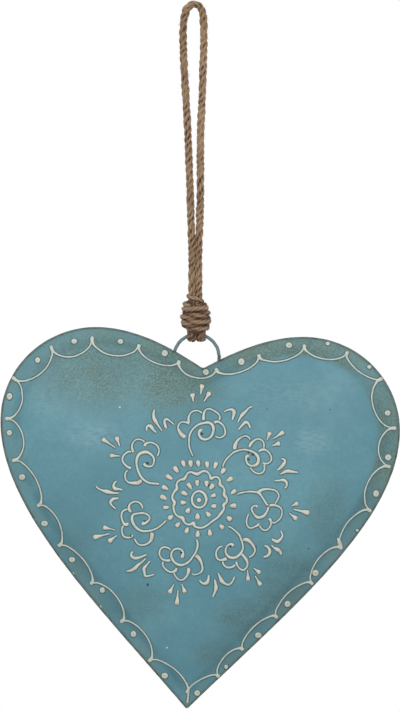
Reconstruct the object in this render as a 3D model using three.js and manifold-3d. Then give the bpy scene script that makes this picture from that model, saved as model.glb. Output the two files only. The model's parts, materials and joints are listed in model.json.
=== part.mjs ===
// Hollow sheet-iron heart ornament: two domed shells welded round their lips, a wire arch
// caught in the seam beside the cleft, and a jute cord that is wrapped into a knot on the
// wire and hangs from a nail. Millimetres, +Z up, the front faces -Y.
// The origin is where the nail carries the cord, under the top of the hanging loop.

import * as THREE from 'three';
import { mergeVertices } from 'three/addons/utils/BufferGeometryUtils.js';
import Module from 'manifold-3d';

const wasm = await Module();
wasm.setup();

// Heart outline, over the weld bead
const HEART_WIDTH = 200;
const HEART_HEIGHT = 189; // tip to the crests of the lobes
const CREST_SPREAD = 104; // crest to crest
const CLEFT_DROP = 18.2; // crests down to the cleft
const WAIST_HEIGHT = 142; // widest line above the tip
const CLEFT_SLOPE_DEG = 31; // how steeply a shoulder leaves the cleft
const CLEFT_REACH = 18.5; // how far it holds that slope
const CREST_REACH = 18.5; // how far a crest stays level towards the cleft
const FLANK_REACH = 45; // how far a flank stays upright below the waist
const TIP_HALF_ANGLE_DEG = 43;
const TIP_REACH = 68; // how far a flank stays straight above the tip

// Domed shells
const DOME_DEPTH = 22; // seam plane to the crown of each shell
const CROWN_HEIGHT = 105; // crown of the dome above the tip
const CROWN_RADIUS = 80; // round contour that the heart melts into towards the crown
const DOME_FULLNESS = 0.7; // 1 is a shallow saucer, 0.5 an ellipse
const SHEET = 0.8; // iron sheet
const LIP_WIDTH = 1.6; // flat lip where the shells meet
const BEAD_DIAMETER = 1.4; // weld bead round the lips
const CLEARANCE = 0.3; // between pieces that seat on each other

// Wire arch
const WIRE_DIAMETER = 1.7;
const ARCH_RADIUS = 11.3; // to the middle of the wire
const ARCH_OFFSET = 3.5; // welded this far left of the middle, so the heart hangs askew
const ARCH_RISE = 5.5; // centre of the arch above the cleft
const LEG_REACH = 13; // each leg below the centre of the arch
const BRAZE_DROP = 7.5; // middle of the braze lump below the rim
const BRAZE_RADIUS = 2.8;
const BRAZE_LENGTH = 6.4;

// Jute cord
const CORD_DIAMETER = 3.8;
const LEG_MIDDLE = 0.5; // between the two legs of the loop, where they go into the knot
const LEG_GAP = 0.2;
const WRAP_DIAMETER = 2.2; // the same cord, drawn tight in the wraps
const WRAP_GAP = 0.48; // between neighbouring wraps
const WRAP_TURNS = 5;
const KNOT_BULGE = 1.6; // how far the middle wraps stand out
const CORE_WIDTH = 7.6; // the legs of the cord inside the wraps, where they come out on top
const CORE_DEPTH = 4.4;
const EYE_DIAMETER = 2.4; // the cord where it goes round the wire
const EYE_GAP = 0.7; // between its two passes under the wire
const EYE_TURNS = 1.5;
const KNOT_X = 1.1; // the knot on the wire, right of the nail

// How it hangs
const HEART_LEAN_DEG = 2.74; // clockwise, seen from the front

// Facets
const SHOULDER_STEPS = 9;
const LOBE_STEPS = 14;
const FLANK_STEPS = 18;
const DOME_RINGS = 8;
const WIRE_STEPS = 36;
const LOOP_STEPS = 80;
const TURN_STEPS = 24;
const CORE_RINGS = 8;
const CORD_SIDES = 8;
const TURN_SIDES = 6;
const BRAZE_SIDES = 14;
const BRAZE_RINGS = 10;
const MERGE_DISTANCE = 1e-4; // corners closer than this are one
const NEXT_TURN = 2.5; // this many diameters along a cord, its next turn may lie beside it

// Route of the hanging loop, [x, z], from the left leg over the nail to the right leg
const LEG_LEFT = LEG_MIDDLE - (CORD_DIAMETER + LEG_GAP) / 2;
const LEG_RIGHT = LEG_MIDDLE + (CORD_DIAMETER + LEG_GAP) / 2;
const LOOP_ROUTE = [
  [LEG_LEFT, -146.3], [LEG_LEFT, -140], [LEG_LEFT, -121], [-1.7, -106], [-2.1, -91], [-2.7, -76],
  [-3.3, -61], [-4.15, -46], [-5, -31], [-5.5, -20], [-5.6, -11], [-4.8, -3.8], [-3, 0.5],
  [0, CORD_DIAMETER / 2], [3, 0.5], [4.4, -3.8], [4.75, -11], [4.75, -20], [4.35, -31],
  [3.9, -46], [3.2, -61], [3.05, -76], [3.05, -91], [2.75, -106], [LEG_RIGHT, -121],
  [LEG_RIGHT, -140], [LEG_RIGHT, -146.3],
];

// Raised ornament on the front, as points read from the photograph: pixels across and down, and
// half widths in tenths of a millimetre
const PHOTO_CROWN = [196.2, 500.8]; // where the crown of the dome is seen
const PHOTO_WIDTH = 404; // pixels that the heart would take at the distance of its crown
const PHOTO_LEAN_DEG = 2.74;
const PAINT_RISE = 0.84; // height of a line, as a share of its half width
const PAINT_SINK = 0.3; // how far the foot of a line goes into the sheet
const PAINT_MERGE = 0.08; // faces closer than this to one plane become one
const DROP_HALF = 1.15;
const SCALLOP_STEPS = 6;
const SCALLOP_HALF = 0.4;
const SCALLOP_BLOB = 0.9;
const SCALLOP_FULLNESS = 0.62;
const BORDER_WIDTH = 200; // width of the heart that the border's distances are for
const TIP_CUSP_RISE = 9.3; // cusp at the tip, above the tip
const CLEFT_SAG = 5.7; // scallop across the cleft

// Scroll flowers, clockwise from the top: a scroll, then its petals
const SCROLL_FLOWERS = [
  [
    [193, 456.5, 3.5], [189, 447, 4], [188.5, 441, 4], [191, 430.5, 4.5], [198, 424, 5],
    [208, 422, 7], [211.5, 424, 7.5], [212.5, 432, 6], [208, 438, 5.5], [204, 439, 5.5],
    [200.5, 437.5, 6], [198.5, 434, 6], [199, 430.5, 7.5], [202, 429, 9],
  ],
  [
    [185.5, 437, 11], [181.5, 434.5, 10], [177.5, 426.5, 5], [181, 421.5, 4],
    [187.5, 422.5, 5.5], [188.5, 425, 4],
  ],
  [[188.5, 423.5, 7], [188, 418, 5.5], [192, 411, 4], [196, 410, 4], [202, 413, 4]],
  [
    [203, 420.5, 8], [204, 411, 5], [206.5, 408.5, 4], [210, 408.5, 4], [218, 413.5, 4],
    [219.5, 417, 4], [218, 420.5, 5],
  ],
  [
    [213, 422.5, 7.5], [216.5, 421, 6], [220, 422.5, 4.5], [224.5, 429.5, 4.5],
    [224.5, 433.5, 4], [221.5, 436.5, 4], [217.5, 437, 4], [214, 435, 4],
  ],
  [
    [222, 467.5, 3.5], [225, 460, 4], [233, 452, 4.5], [243.5, 449, 4.5], [253.5, 452, 6],
    [257, 455.5, 7], [257, 463, 8], [254, 465, 6.5], [250, 465, 5], [247, 463, 5],
    [246, 456, 6.5], [249, 455, 9.5],
  ],
  [[234, 449.5, 9], [236, 441.5, 7.5], [239, 438, 5], [245.5, 435.5, 4], [250, 440, 4]],
  [[248.5, 447, 6], [250.5, 443, 7], [256.5, 438.5, 4], [262.5, 441, 4], [263, 448, 5]],
  [
    [257.5, 451.5, 5], [264, 449, 6], [270, 454.5, 4.5], [271, 458, 4.5], [269.5, 461.5, 4],
    [266.5, 463, 4], [262, 462, 6],
  ],
  [[263.5, 463.5, 5.5], [263, 471, 4], [259.5, 473, 4], [255.5, 472.5, 4], [249.5, 466.5, 4]],
  [
    [235.5, 494, 3.5], [250, 491, 4.5], [258, 492, 8], [267.5, 505.5, 6], [267.5, 508.5, 5],
    [263, 515.5, 7], [258.5, 517, 7.5], [255, 515.5, 6], [251, 508.5, 4.5], [255, 505, 5],
    [257.5, 506.5, 9.5],
  ],
  [
    [257.5, 492, 10], [266, 488.5, 5], [275, 490, 4], [278, 493.5, 4], [278, 497, 4],
    [274, 503.5, 4],
  ],
  [
    [268.5, 505, 6], [277, 505.5, 5], [280.5, 508, 4], [281.5, 512, 4], [280.5, 516.5, 4],
    [277.5, 520, 4], [271, 522, 5],
  ],
  [
    [267.5, 517.5, 6], [270, 519.5, 7], [270.5, 523, 5], [266, 529.5, 4], [263, 529.5, 4],
    [259, 524.5, 5],
  ],
  [[258.5, 522.5, 6], [254.5, 526, 4.5], [248.5, 527, 4], [246, 520.5, 4], [248.5, 513, 3.5]],
  [
    [227, 525.5, 3.5], [238.5, 534, 4.5], [242.5, 547.5, 4.5], [241, 551.5, 5.5],
    [234.5, 557, 7], [230, 557, 7], [225, 551, 5], [227.5, 544.5, 4.5], [231, 543.5, 6],
    [233.5, 546, 9.5],
  ],
  [
    [242, 539.5, 7], [246, 539, 9], [250, 541.5, 8], [254.5, 549.5, 4.5], [253, 553.5, 4],
    [247.5, 557, 4],
  ],
  [
    [241, 553, 6], [246, 559.5, 7], [246, 567, 4.5], [243, 569.5, 4.5], [240, 568.5, 4.5],
    [237.5, 566, 4.5], [236, 560.5, 6],
  ],
  [[235, 563.5, 7], [232.5, 566, 5], [228.5, 567, 5], [225, 566, 4.5], [222.5, 560.5, 4.5]],
  [
    [227, 557.5, 9.5], [219.5, 559.5, 5], [216.5, 557.5, 4.5], [216.5, 549.5, 4.5],
    [219, 546.5, 4.5], [222.5, 545.5, 4],
  ],
  [
    [196, 538.5, 5], [197, 546, 5], [194.5, 553, 5], [185.5, 563, 5.5], [181, 564.5, 6],
    [176.5, 563.5, 6], [173, 560.5, 6], [171, 556.5, 6], [171, 552.5, 5], [173, 549.5, 4.5],
    [176.5, 548, 4.5], [180.5, 549, 5], [182.5, 552, 6], [180.5, 557.5, 8],
  ],
  [[194.5, 554.5, 9], [200, 560, 7], [202, 568.5, 5], [197, 573.5, 4], [191, 573, 4]],
  [
    [188, 567, 8], [188, 571, 8.5], [183.5, 578.5, 4.5], [180, 579.5, 4.5], [177, 578, 4],
    [173.5, 572, 5],
  ],
  [
    [176.5, 566.5, 5.5], [175, 570, 7], [171.5, 571.5, 5], [167.5, 570.5, 4.5], [162, 564, 4.5],
    [163, 560.5, 4],
  ],
  [
    [170.5, 559.5, 6], [162.5, 559, 5], [159.5, 555.5, 4.5], [159, 551.5, 4.5],
    [160.5, 548, 4.5], [164, 546.5, 4.5], [170.5, 549.5, 4],
  ],
  [
    [166, 519.5, 4], [157.5, 527, 4], [152, 529.5, 4.5], [142, 530.5, 5.5], [137.5, 528.5, 6],
    [132, 521, 7], [131.5, 517, 6.5], [133, 514, 5], [137, 513, 5], [142, 512.5, 5],
    [149, 516, 4.5], [148.5, 519.5, 5], [145.5, 522, 6.5], [140.5, 522.5, 8.5],
  ],
  [[151, 531.5, 8], [150.5, 539.5, 7.5], [147, 543, 5], [138.5, 544, 4], [134, 537.5, 4.5]],
  [[132.5, 534, 7], [130.5, 536.5, 5], [123, 535.5, 4.5], [121.5, 527.5, 4.5], [123.5, 525, 5]],
  [[128.5, 523, 7.5], [124.5, 524, 7.5], [121, 516, 4.5], [121.5, 512, 4.5], [127.5, 508.5, 5]],
  [
    [131, 512, 7], [128.5, 508.5, 7], [129, 504.5, 5], [131.5, 502, 4.5], [135.5, 501, 4.5],
    [139.5, 502.5, 4.5], [142.5, 509, 4],
  ],
  [
    [159.5, 483.5, 5], [145, 480.5, 5], [141.5, 477.5, 6], [137, 468.5, 5], [136, 463, 5.5],
    [138.5, 454, 7.5], [146, 451.5, 7.5], [153, 457, 5], [152, 465, 4.5], [145, 465, 6],
    [143, 462, 9.5],
  ],
  [
    [141.5, 479, 8], [138, 482, 9.5], [128.5, 482, 5], [125.5, 479.5, 4.5], [124.5, 475.5, 4.5],
    [127.5, 469.5, 4],
  ],
  [
    [131.5, 468, 7], [127.5, 466.5, 6], [122, 460, 4.5], [122.5, 456, 4.5], [125, 453, 4.5],
    [128.5, 451, 4.5], [131.5, 451.5, 5],
  ],
  [
    [133.5, 452.5, 7], [131.5, 445.5, 4.5], [133, 441.5, 4], [136, 439, 4], [140, 439, 4],
    [144.5, 442.5, 5],
  ],
  [
    [144, 446.5, 9], [145, 443.5, 6.5], [148.5, 442, 4.5], [156.5, 445, 4], [158.5, 449, 4],
    [156.5, 456, 4.5],
  ],
];

// Three leaves of each sprig
const LEAF_SPRIGS = [
  [[223, 411.5, 3.5], [231.5, 409, 6], [233.5, 411.5, 9.5], [231.5, 420, 4]],
  [[237, 422.5, 3.5], [242, 414, 9], [249, 407, 4.5], [252.5, 406, 4]],
  [[237.5, 429.5, 4], [244.5, 422, 8.5], [247, 422, 6], [250, 428.5, 3.5]],
  [[280, 458, 3.5], [283.5, 459, 5], [284.5, 461, 6.5], [282, 465, 9], [276.5, 470, 4]],
  [[279, 474, 3.5], [286.5, 470.5, 9], [298.5, 472, 3.5]],
  [[273.5, 480, 4], [283, 479.5, 7.5], [286, 482, 6], [286, 485.5, 5], [283.5, 488.5, 4]],
  [[270.5, 538, 4], [277, 541, 8], [282, 535, 5], [280, 529.5, 3.5]],
  [[270.5, 544, 3.5], [279.5, 551, 8], [281, 554.5, 6]],
  [
    [263, 545, 4.5], [266.5, 546, 5.5], [269, 549, 7.5], [269, 552.5, 7.5], [266.5, 555.5, 5.5],
    [262, 556.5, 4.5],
  ],
  [
    [217, 571.5, 3.5], [221, 580, 9.5], [224.5, 583, 6], [228.5, 584, 5], [231.5, 581.5, 4.5],
    [234, 575.5, 3.5],
  ],
  [[214, 578, 3.5], [215.5, 587, 9.5], [212, 597, 4]],
  [[208, 574, 4], [206.5, 582, 9], [203, 583, 6], [199, 579, 4]],
  [[133.5, 550.5, 4], [131, 552.5, 5], [131, 555.5, 6.5], [134, 557.5, 7], [147, 553.5, 4]],
  [[125.5, 570.5, 4], [134.5, 567.5, 9], [145.5, 557.5, 3.5]],
  [[150, 560, 3.5], [143.5, 568, 8], [145, 575.5, 5.5], [154.5, 573.5, 3.5]],
  [[116.5, 480, 4], [113, 485.5, 6], [114.5, 488, 8.5], [123, 489.5, 4]],
  [[95, 485, 3.5], [98, 488, 4], [106.5, 491, 10.5], [119, 492.5, 4]],
  [[119, 497.5, 5], [112.5, 498.5, 8], [110, 501.5, 7], [111, 504.5, 4.5], [116, 509, 4]],
  [[146.5, 431, 3.5], [146, 427.5, 5], [148, 425, 6], [150.5, 426, 9.5], [156.5, 432.5, 4]],
  [[154, 408.5, 5], [153.5, 417.5, 8.5], [162, 431, 4]],
  [[166, 428.5, 6.5], [164, 420, 6], [166, 418.5, 5.5], [174, 424.5, 3.5]],
];

// Rosette: the wavy ring and its middle
const ROSETTE_LINES = [
  [
    [184, 478.5, 9], [187.5, 472.5, 5], [190.5, 471.5, 5], [197, 473.5, 8.5], [204, 470.5, 6],
    [207.5, 472, 5], [210.5, 478, 8], [214, 476.5, 5], [217.5, 477, 5], [219.5, 480, 5],
    [219.5, 484, 8], [224, 490, 5], [223.5, 494, 8], [226, 497.5, 6], [226, 501.5, 6],
    [223, 504.5, 8], [223.5, 508, 5], [221.5, 511.5, 7], [216.8, 517.1, 5.2],
  ],
  [
    [216.5, 517.5, 5], [207, 524.5, 5], [202, 527, 5], [197.5, 527, 5], [194, 525.5, 6],
    [193, 522.5, 9], [189.5, 524, 5], [186, 523.5, 5], [182, 517.5, 9], [175, 513.5, 5],
    [173, 506, 5.5], [174, 502, 8.5], [172, 498.5, 5.5], [172, 495, 5.5], [176.5, 488, 8.5],
    [176, 484, 5], [177.5, 481, 5], [183.7, 478.6, 8.7],
  ],
  [
    [199, 490.5, 7], [203, 492.5, 7], [205.5, 497, 7], [205.5, 501, 6], [203.5, 505, 5.5],
    [199.5, 507, 5], [195.4, 506.1, 5.5],
  ],
  [[195, 506, 5.5], [192, 502.5, 6], [191.5, 497.5, 6], [193.5, 493, 5], [198.8, 490.6, 6.8]],
];

// Drops of the rosette: head and tail
const ROSETTE_DROPS = [
  [182.5, 461.5, 184, 466.5], [190, 461.5, 190.5, 467], [197.5, 461.5, 198.5, 466.5],
  [206.5, 462.5, 207, 467.5], [215.5, 463, 213.5, 468.5], [223.5, 469, 220.5, 473.5],
  [230.5, 478, 226, 480.5], [234, 490.5, 230, 493.5], [234, 505, 229, 505.5],
  [229.5, 518.5, 226, 516], [222, 527, 219, 524], [209.5, 533.5, 209, 528],
  [197, 535, 197.5, 529.5], [186, 531, 187.5, 526.5], [176.5, 525, 179.5, 521.5],
  [169, 517.5, 173, 514.5], [164, 507, 169, 506.5], [161.5, 496, 166.5, 499],
  [163, 486.5, 168, 489], [167, 475.5, 172.5, 479], [174.5, 467.5, 178, 472.5],
  [196.5, 481, 197, 486], [206, 481.5, 206, 486.5], [212, 485, 209, 489], [214, 494.5, 210, 496],
  [214.5, 505.5, 210, 505.5], [208.5, 514.5, 205.5, 511], [197, 517, 197, 512.5],
  [187, 511, 189, 507], [181.5, 502, 186, 502], [182.5, 492, 187.5, 494.5],
  [188, 484, 191.5, 489],
];

// Drops of the sprays outside the flowers
const SPRAY_DROPS = [
  [201.5, 385.5, 200, 394.5], [192, 394.5, 193, 402], [208.5, 393, 203, 401.5],
  [282, 432, 271.5, 439], [269, 433, 266, 440.5], [278, 443, 271, 445.5], [307, 512, 292, 508.5],
  [296, 503, 290, 506], [295, 517.5, 288, 512], [247.5, 578.5, 247, 568.5],
  [258.5, 571.5, 252.5, 567], [259.5, 583.5, 254, 574.5], [176.5, 602.5, 177.5, 589],
  [169.5, 591, 174, 582.5], [184, 590.5, 181, 583], [94.5, 536.5, 109.5, 533],
  [104, 527, 115.5, 529.5], [109.5, 540, 117, 534.5], [103, 439, 115.5, 447.5],
  [116.5, 438, 119.5, 446.5], [111, 455, 120, 455.5],
];

// Border from the cleft to the tip, in millimetres: distance and inset of a cusp, and depth of
// the scallop after it
const BORDER_ROWS = [
  {
    side: 1,
    rows: [
      [5.5, 4, 4.5], [28.5, 6, 4.5], [53.5, 5, 4.5], [77, 3, 3.5], [99.5, 1.5, 7.5],
      [126.5, 3, 6.5], [147, 3, 6.5], [171.5, 2, 5], [195.5, 3, 4], [218.5, 2, 4.5], [243, 3, 4],
      [266.5, 3, 4], [284.5, 1.5, 2.5],
    ],
  },
  {
    side: -1,
    rows: [
      [12, 4, 4.5], [34.5, 5.5, 6.5], [60.5, 6, 6.5], [84, 4.5, 6.5], [110, 1.5, 6],
      [131.5, 3.5, 6.5], [154, 4, 5], [180.5, 6.5, 5], [203.5, 4, 4.5], [228.5, 5.5, 5.5],
      [253, 5, 5.5], [277, 2.5, 4.5],
    ],
  },
];

const rad = THREE.MathUtils.degToRad;
const lerp = THREE.MathUtils.lerp;

const jute = { color: 0x93755a, roughness: 0.95, metalness: 0 };
const paint = { color: 0x6296a8, roughness: 0.55, metalness: 0.1 };
const wornPaint = { color: 0x5d7c84, roughness: 0.6, metalness: 0.3 };
const braze = { color: 0x6b5a48, roughness: 0.6, metalness: 0.7 };

// Places that follow from the sizes
const tipZ = -CROWN_HEIGHT;
const crestZ = tipZ + HEART_HEIGHT;
const cleftZ = crestZ - CLEFT_DROP;
const waistZ = tipZ + WAIST_HEIGHT;
const arch = new THREE.Vector2(-ARCH_OFFSET, cleftZ + ARCH_RISE);
const wireRadius = WIRE_DIAMETER / 2;
const legClear = wireRadius + CLEARANCE;
const lipInset = BEAD_DIAMETER + CLEARANCE; // lip edge, in from the outline
const domeInset = lipInset + LIP_WIDTH; // where the dome starts
const lipBase = CLEARANCE / 2; // the lips meet at the seam plane
const wireSetback = lipBase + wireRadius; // the wire lies behind the front lip

const routeStart = LOOP_ROUTE[0];
const routeEnd = LOOP_ROUTE[LOOP_ROUTE.length - 1];
const wrapPitch = WRAP_DIAMETER + WRAP_GAP;
const knotHeight = WRAP_DIAMETER + WRAP_TURNS * wrapPitch;
const knotTop = Math.min(routeStart[1], routeEnd[1]) - CLEARANCE;
const wireTop = new THREE.Vector3(KNOT_X, 0, knotTop - knotHeight - legClear);
const eyeRadius = legClear + EYE_DIAMETER / 2; // wire's middle to the cord's middle
const eyeReach = eyeRadius + EYE_DIAMETER / 2;
const eyePitch = EYE_DIAMETER + EYE_GAP; // between the two passes under the wire
const eyeCorner = Math.hypot(eyeRadius, eyePitch / 2) + EYE_DIAMETER / 2;

// A closed solid from rings of equal length, closed at both ends on a point
function skin(rings, startPoint, endPoint) {
  const count = rings[0].length;
  const points = [startPoint, ...rings.flat(), endPoint];
  const last = points.length - 1;
  const at = (ring, k) => 1 + ring * count + (k % count);
  const faces = [];
  for (let k = 0; k < count; k++) {
    faces.push([0, at(0, k), at(0, k + 1)]);
    for (let ring = 0; ring < rings.length - 1; ring++) {
      faces.push([at(ring, k), at(ring + 1, k), at(ring + 1, k + 1)]);
      faces.push([at(ring, k), at(ring + 1, k + 1), at(ring, k + 1)]);
    }
    faces.push([at(rings.length - 1, k + 1), at(rings.length - 1, k), last]);
  }
  return facingOut(points, faces);
}

// Turns the faces over if they point inwards
function facingOut(points, faces) {
  let volume = 0;
  for (const [a, b, c] of faces) {
    volume += points[a].dot(new THREE.Vector3().crossVectors(points[b], points[c]));
  }
  const turned = volume < 0 ? faces.map(([a, b, c]) => [a, c, b]) : faces;
  const geometry = new THREE.BufferGeometry().setFromPoints(points);
  geometry.setIndex(turned.flat());
  return geometry;
}

function toSolid(geometry) {
  const bare = geometry.clone();
  bare.deleteAttribute('normal');
  bare.deleteAttribute('uv');
  const merged = mergeVertices(bare, MERGE_DISTANCE);
  return new wasm.Manifold(new wasm.Mesh({
    numProp: 3,
    vertProperties: new Float32Array(merged.attributes.position.array),
    triVerts: new Uint32Array(merged.index.array),
  }));
}

function toGeometry(solid) {
  const mesh = solid.getMesh();
  const geometry = new THREE.BufferGeometry();
  geometry.setAttribute('position', new THREE.BufferAttribute(mesh.vertProperties, 3));
  geometry.setIndex(new THREE.BufferAttribute(mesh.triVerts, 1));
  return geometry;
}

function tube(path, diameter, sides, steps) {
  const section = new THREE.Shape();
  for (let k = 0; k < sides; k++) {
    const angle = (2 * Math.PI * k) / sides;
    const x = (diameter / 2) * Math.cos(angle);
    const y = (diameter / 2) * Math.sin(angle);
    if (k === 0) section.moveTo(x, y);
    else section.lineTo(x, y);
  }
  section.closePath();
  return new THREE.ExtrudeGeometry(section, { steps, extrudePath: path, bevelEnabled: false });
}

function node(name, geometry, finish) {
  const mesh = new THREE.Mesh(geometry, new THREE.MeshStandardMaterial(finish));
  mesh.name = name;
  return mesh;
}

// Outline: right half from the cleft to the tip, as points with outward normals
function halfOutline() {
  const halfWidth = HEART_WIDTH / 2;
  const crestX = CREST_SPREAD / 2;
  const slope = rad(CLEFT_SLOPE_DEG);
  const tipAngle = rad(TIP_HALF_ANGLE_DEG);
  const shoulder = new THREE.CubicBezierCurve(
    new THREE.Vector2(0, cleftZ),
    new THREE.Vector2(CLEFT_REACH * Math.cos(slope), cleftZ + CLEFT_REACH * Math.sin(slope)),
    new THREE.Vector2(crestX - CREST_REACH, crestZ),
    new THREE.Vector2(crestX, crestZ),
  );
  const lobe = new THREE.EllipseCurve(
    crestX, waistZ, halfWidth - crestX, crestZ - waistZ, Math.PI / 2, 0, true,
  );
  const flank = new THREE.CubicBezierCurve(
    new THREE.Vector2(halfWidth, waistZ),
    new THREE.Vector2(halfWidth, waistZ - FLANK_REACH),
    new THREE.Vector2(TIP_REACH * Math.sin(tipAngle), tipZ + TIP_REACH * Math.cos(tipAngle)),
    new THREE.Vector2(0, tipZ),
  );
  const samples = [];
  const runs = [[shoulder, SHOULDER_STEPS], [lobe, LOBE_STEPS], [flank, FLANK_STEPS]];
  for (const [curve, steps] of runs) {
    for (let k = samples.length ? 1 : 0; k <= steps; k++) {
      const along = curve.getTangentAt(k / steps);
      samples.push({
        point: curve.getPointAt(k / steps),
        normal: new THREE.Vector2(-along.y, along.x),
      });
    }
  }
  // On the axis the two halves meet in a mitre
  for (const sample of [samples[0], samples[samples.length - 1]]) {
    sample.normal.set(0, 1 / sample.normal.y);
  }
  return samples;
}

const mirrored = ({ point, normal }) => ({
  point: new THREE.Vector2(-point.x, point.y),
  normal: new THREE.Vector2(-normal.x, normal.y),
});

const rightHalf = halfOutline();
const leftHalf = rightHalf.map(mirrored).reverse();
const outline = [...rightHalf, ...leftHalf.slice(1, -1)];

const inset = ({ point, normal }, distance) => point.clone().addScaledVector(normal, -distance);
const place = (flat, y) => new THREE.Vector3(flat.x, y, flat.y);

// The outline above a given x, on the shoulder of that side
function shoulderAt(x) {
  const across = Math.abs(x);
  const next = rightHalf.findIndex(({ point }) => point.x > across);
  const [a, b] = [rightHalf[next - 1], rightHalf[next]];
  const share = (across - a.point.x) / (b.point.x - a.point.x);
  const sample = {
    point: a.point.clone().lerp(b.point, share),
    normal: next === 1 ? b.normal.clone() : a.normal.clone().lerp(b.normal, share),
  };
  return x < 0 ? mirrored(sample) : sample;
}

// Rings of one domed face, from near the crown out to where it starts at the lip
function domeRings(rimInset, base, depth, side) {
  const rim = outline.map((sample) => inset(sample, rimInset));
  const rings = [];
  for (let k = 1; k <= DOME_RINGS; k++) {
    const share = Math.sin((k / DOME_RINGS) * (Math.PI / 2));
    const height = base + (depth - base) * (1 - share ** 2) ** DOME_FULLNESS;
    rings.push(rim.map((point) => {
      const reach = share * lerp(CROWN_RADIUS, point.length(), share);
      return place(point.clone().setLength(reach), side * height);
    }));
  }
  return rings;
}

const crown = (depth, side) => new THREE.Vector3(0, side * depth, 0);

function shell(side) {
  const lipTop = lipBase + SHEET;
  const outer = domeRings(domeInset, lipTop, DOME_DEPTH, side);
  const inner = domeRings(domeInset + SHEET, lipBase, DOME_DEPTH - SHEET, side);
  const lip = [lipTop, lipBase].map((y) => (
    outline.map((sample) => place(inset(sample, lipInset), side * y))
  ));
  return skin(
    [...outer, ...lip, ...inner.reverse()],
    crown(DOME_DEPTH, side),
    crown(DOME_DEPTH - SHEET, side),
  );
}

// Where the outer face of the front lies, as y at a given x and z
function frontFace(geometry) {
  const skinMesh = new THREE.Mesh(geometry, new THREE.MeshBasicMaterial({ side: THREE.DoubleSide }));
  const inwards = new THREE.Vector3(0, 1, 0);
  return (flat) => {
    const ray = new THREE.Raycaster(place(flat, -2 * DOME_DEPTH), inwards);
    const [hit] = ray.intersectObject(skinMesh);
    return hit ? hit.point.y : -lipBase - SHEET;
  };
}

// A ridge of paint on the front through points with half widths, sunk a little into the sheet
function ridge(points, face) {
  const rings = points.map(({ at, half }, k) => {
    const before = points[Math.max(k - 1, 0)].at;
    const after = points[Math.min(k + 1, points.length - 1)].at;
    const along = after.clone().sub(before).normalize();
    const across = new THREE.Vector2(along.y, -along.x).multiplyScalar(half);
    const feet = [at.clone().add(across), at.clone().sub(across)];
    const [left, right] = feet.map((foot) => place(foot, face(foot) + PAINT_SINK));
    return [left, place(at, face(at) - PAINT_RISE * half), right];
  });
  const end = (last, inner) => {
    const away = last.at.clone().sub(inner.at).setLength(last.half);
    const point = last.at.clone().add(away);
    return place(point, face(point) + PAINT_SINK);
  };
  return toSolid(skin(rings, end(points[0], points[1]), end(...points.slice(-2).reverse())));
}

// Where a pixel of the photograph lies on the heart
function fromPhoto(x, y) {
  const scale = HEART_WIDTH / PHOTO_WIDTH;
  const seen = new THREE.Vector2(x - PHOTO_CROWN[0], PHOTO_CROWN[1] - y).multiplyScalar(scale);
  return seen.rotateAround(new THREE.Vector2(), rad(PHOTO_LEAN_DEG));
}

const line = (points) => points.map(([x, y, half]) => ({ at: fromPhoto(x, y), half: half / 10 }));

// A drop of paint from its round head to its thin tail
function dropLine([headX, headY, tailX, tailY]) {
  const head = fromPhoto(headX, headY);
  const tail = fromPhoto(tailX, tailY);
  return [
    { at: head, half: DROP_HALF },
    { at: head.clone().lerp(tail, 0.6), half: DROP_HALF / 2 },
  ];
}

// A place so far along the outline from the cleft, and so far in from it, but clear of the lip
function onBorder(side, distance, depth) {
  let left = distance * (HEART_WIDTH / BORDER_WIDTH);
  let k = 0;
  while (k < rightHalf.length - 2) {
    const step = rightHalf[k].point.distanceTo(rightHalf[k + 1].point);
    if (left <= step) break;
    left -= step;
    k++;
  }
  const [a, b] = [rightHalf[k], rightHalf[k + 1]];
  const share = left / a.point.distanceTo(b.point);
  const sample = {
    point: a.point.clone().lerp(b.point, share),
    normal: a.normal.clone().lerp(b.normal, share).normalize(),
  };
  const inwards = Math.max(depth, domeInset + SCALLOP_BLOB);
  return inset(side < 0 ? mirrored(sample) : sample, inwards);
}

// An arc that hangs in from the rim between two cusps, clockwise
function scallopLine(from, to, depth) {
  const along = to.clone().sub(from);
  const inwards = new THREE.Vector2(along.y, -along.x).normalize();
  const points = [];
  for (let k = 0; k <= SCALLOP_STEPS; k++) {
    const share = k / SCALLOP_STEPS;
    const sag = depth * (1 - (2 * share - 1) ** 2) ** SCALLOP_FULLNESS;
    points.push({
      at: from.clone().addScaledVector(along, share).addScaledVector(inwards, sag),
      half: k ? SCALLOP_HALF : SCALLOP_BLOB,
    });
  }
  return points;
}

// Scallops round the border, clockwise
function borderForms(face) {
  const forms = [];
  const tip = new THREE.Vector2(0, tipZ + TIP_CUSP_RISE);
  for (const { side, rows } of BORDER_ROWS) {
    const cusps = rows.map(([distance, depth]) => onBorder(side, distance, depth));
    cusps.push(tip);
    rows.forEach(([, , sag], k) => {
      const ends = side > 0 ? [cusps[k], cusps[k + 1]] : [cusps[k + 1], cusps[k]];
      forms.push(ridge(scallopLine(...ends, sag), face));
    });
  }
  const [right, left] = BORDER_ROWS.map(({ side, rows }) => onBorder(side, rows[0][0], rows[0][1]));
  forms.push(ridge(scallopLine(left, right, CLEFT_SAG), face));
  return forms;
}

// The front sheet with its ornament of thick paint
function frontShell() {
  const sheet = shell(-1);
  const face = frontFace(sheet);
  const strokes = [...SCROLL_FLOWERS, ...LEAF_SPRIGS, ...ROSETTE_LINES].map(line);
  const drops = [...ROSETTE_DROPS, ...SPRAY_DROPS].map(dropLine);
  const forms = [...strokes, ...drops].map((points) => ridge(points, face));
  const all = wasm.Manifold.union([toSolid(sheet), ...forms, ...borderForms(face)]);
  // Bubbles under the paint, where it bridges a hollow, are filled
  const [whole] = all.asOriginal().simplify(PAINT_MERGE).decompose()
    .sort((a, b) => b.volume() - a.volume());
  return whole;
}

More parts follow.
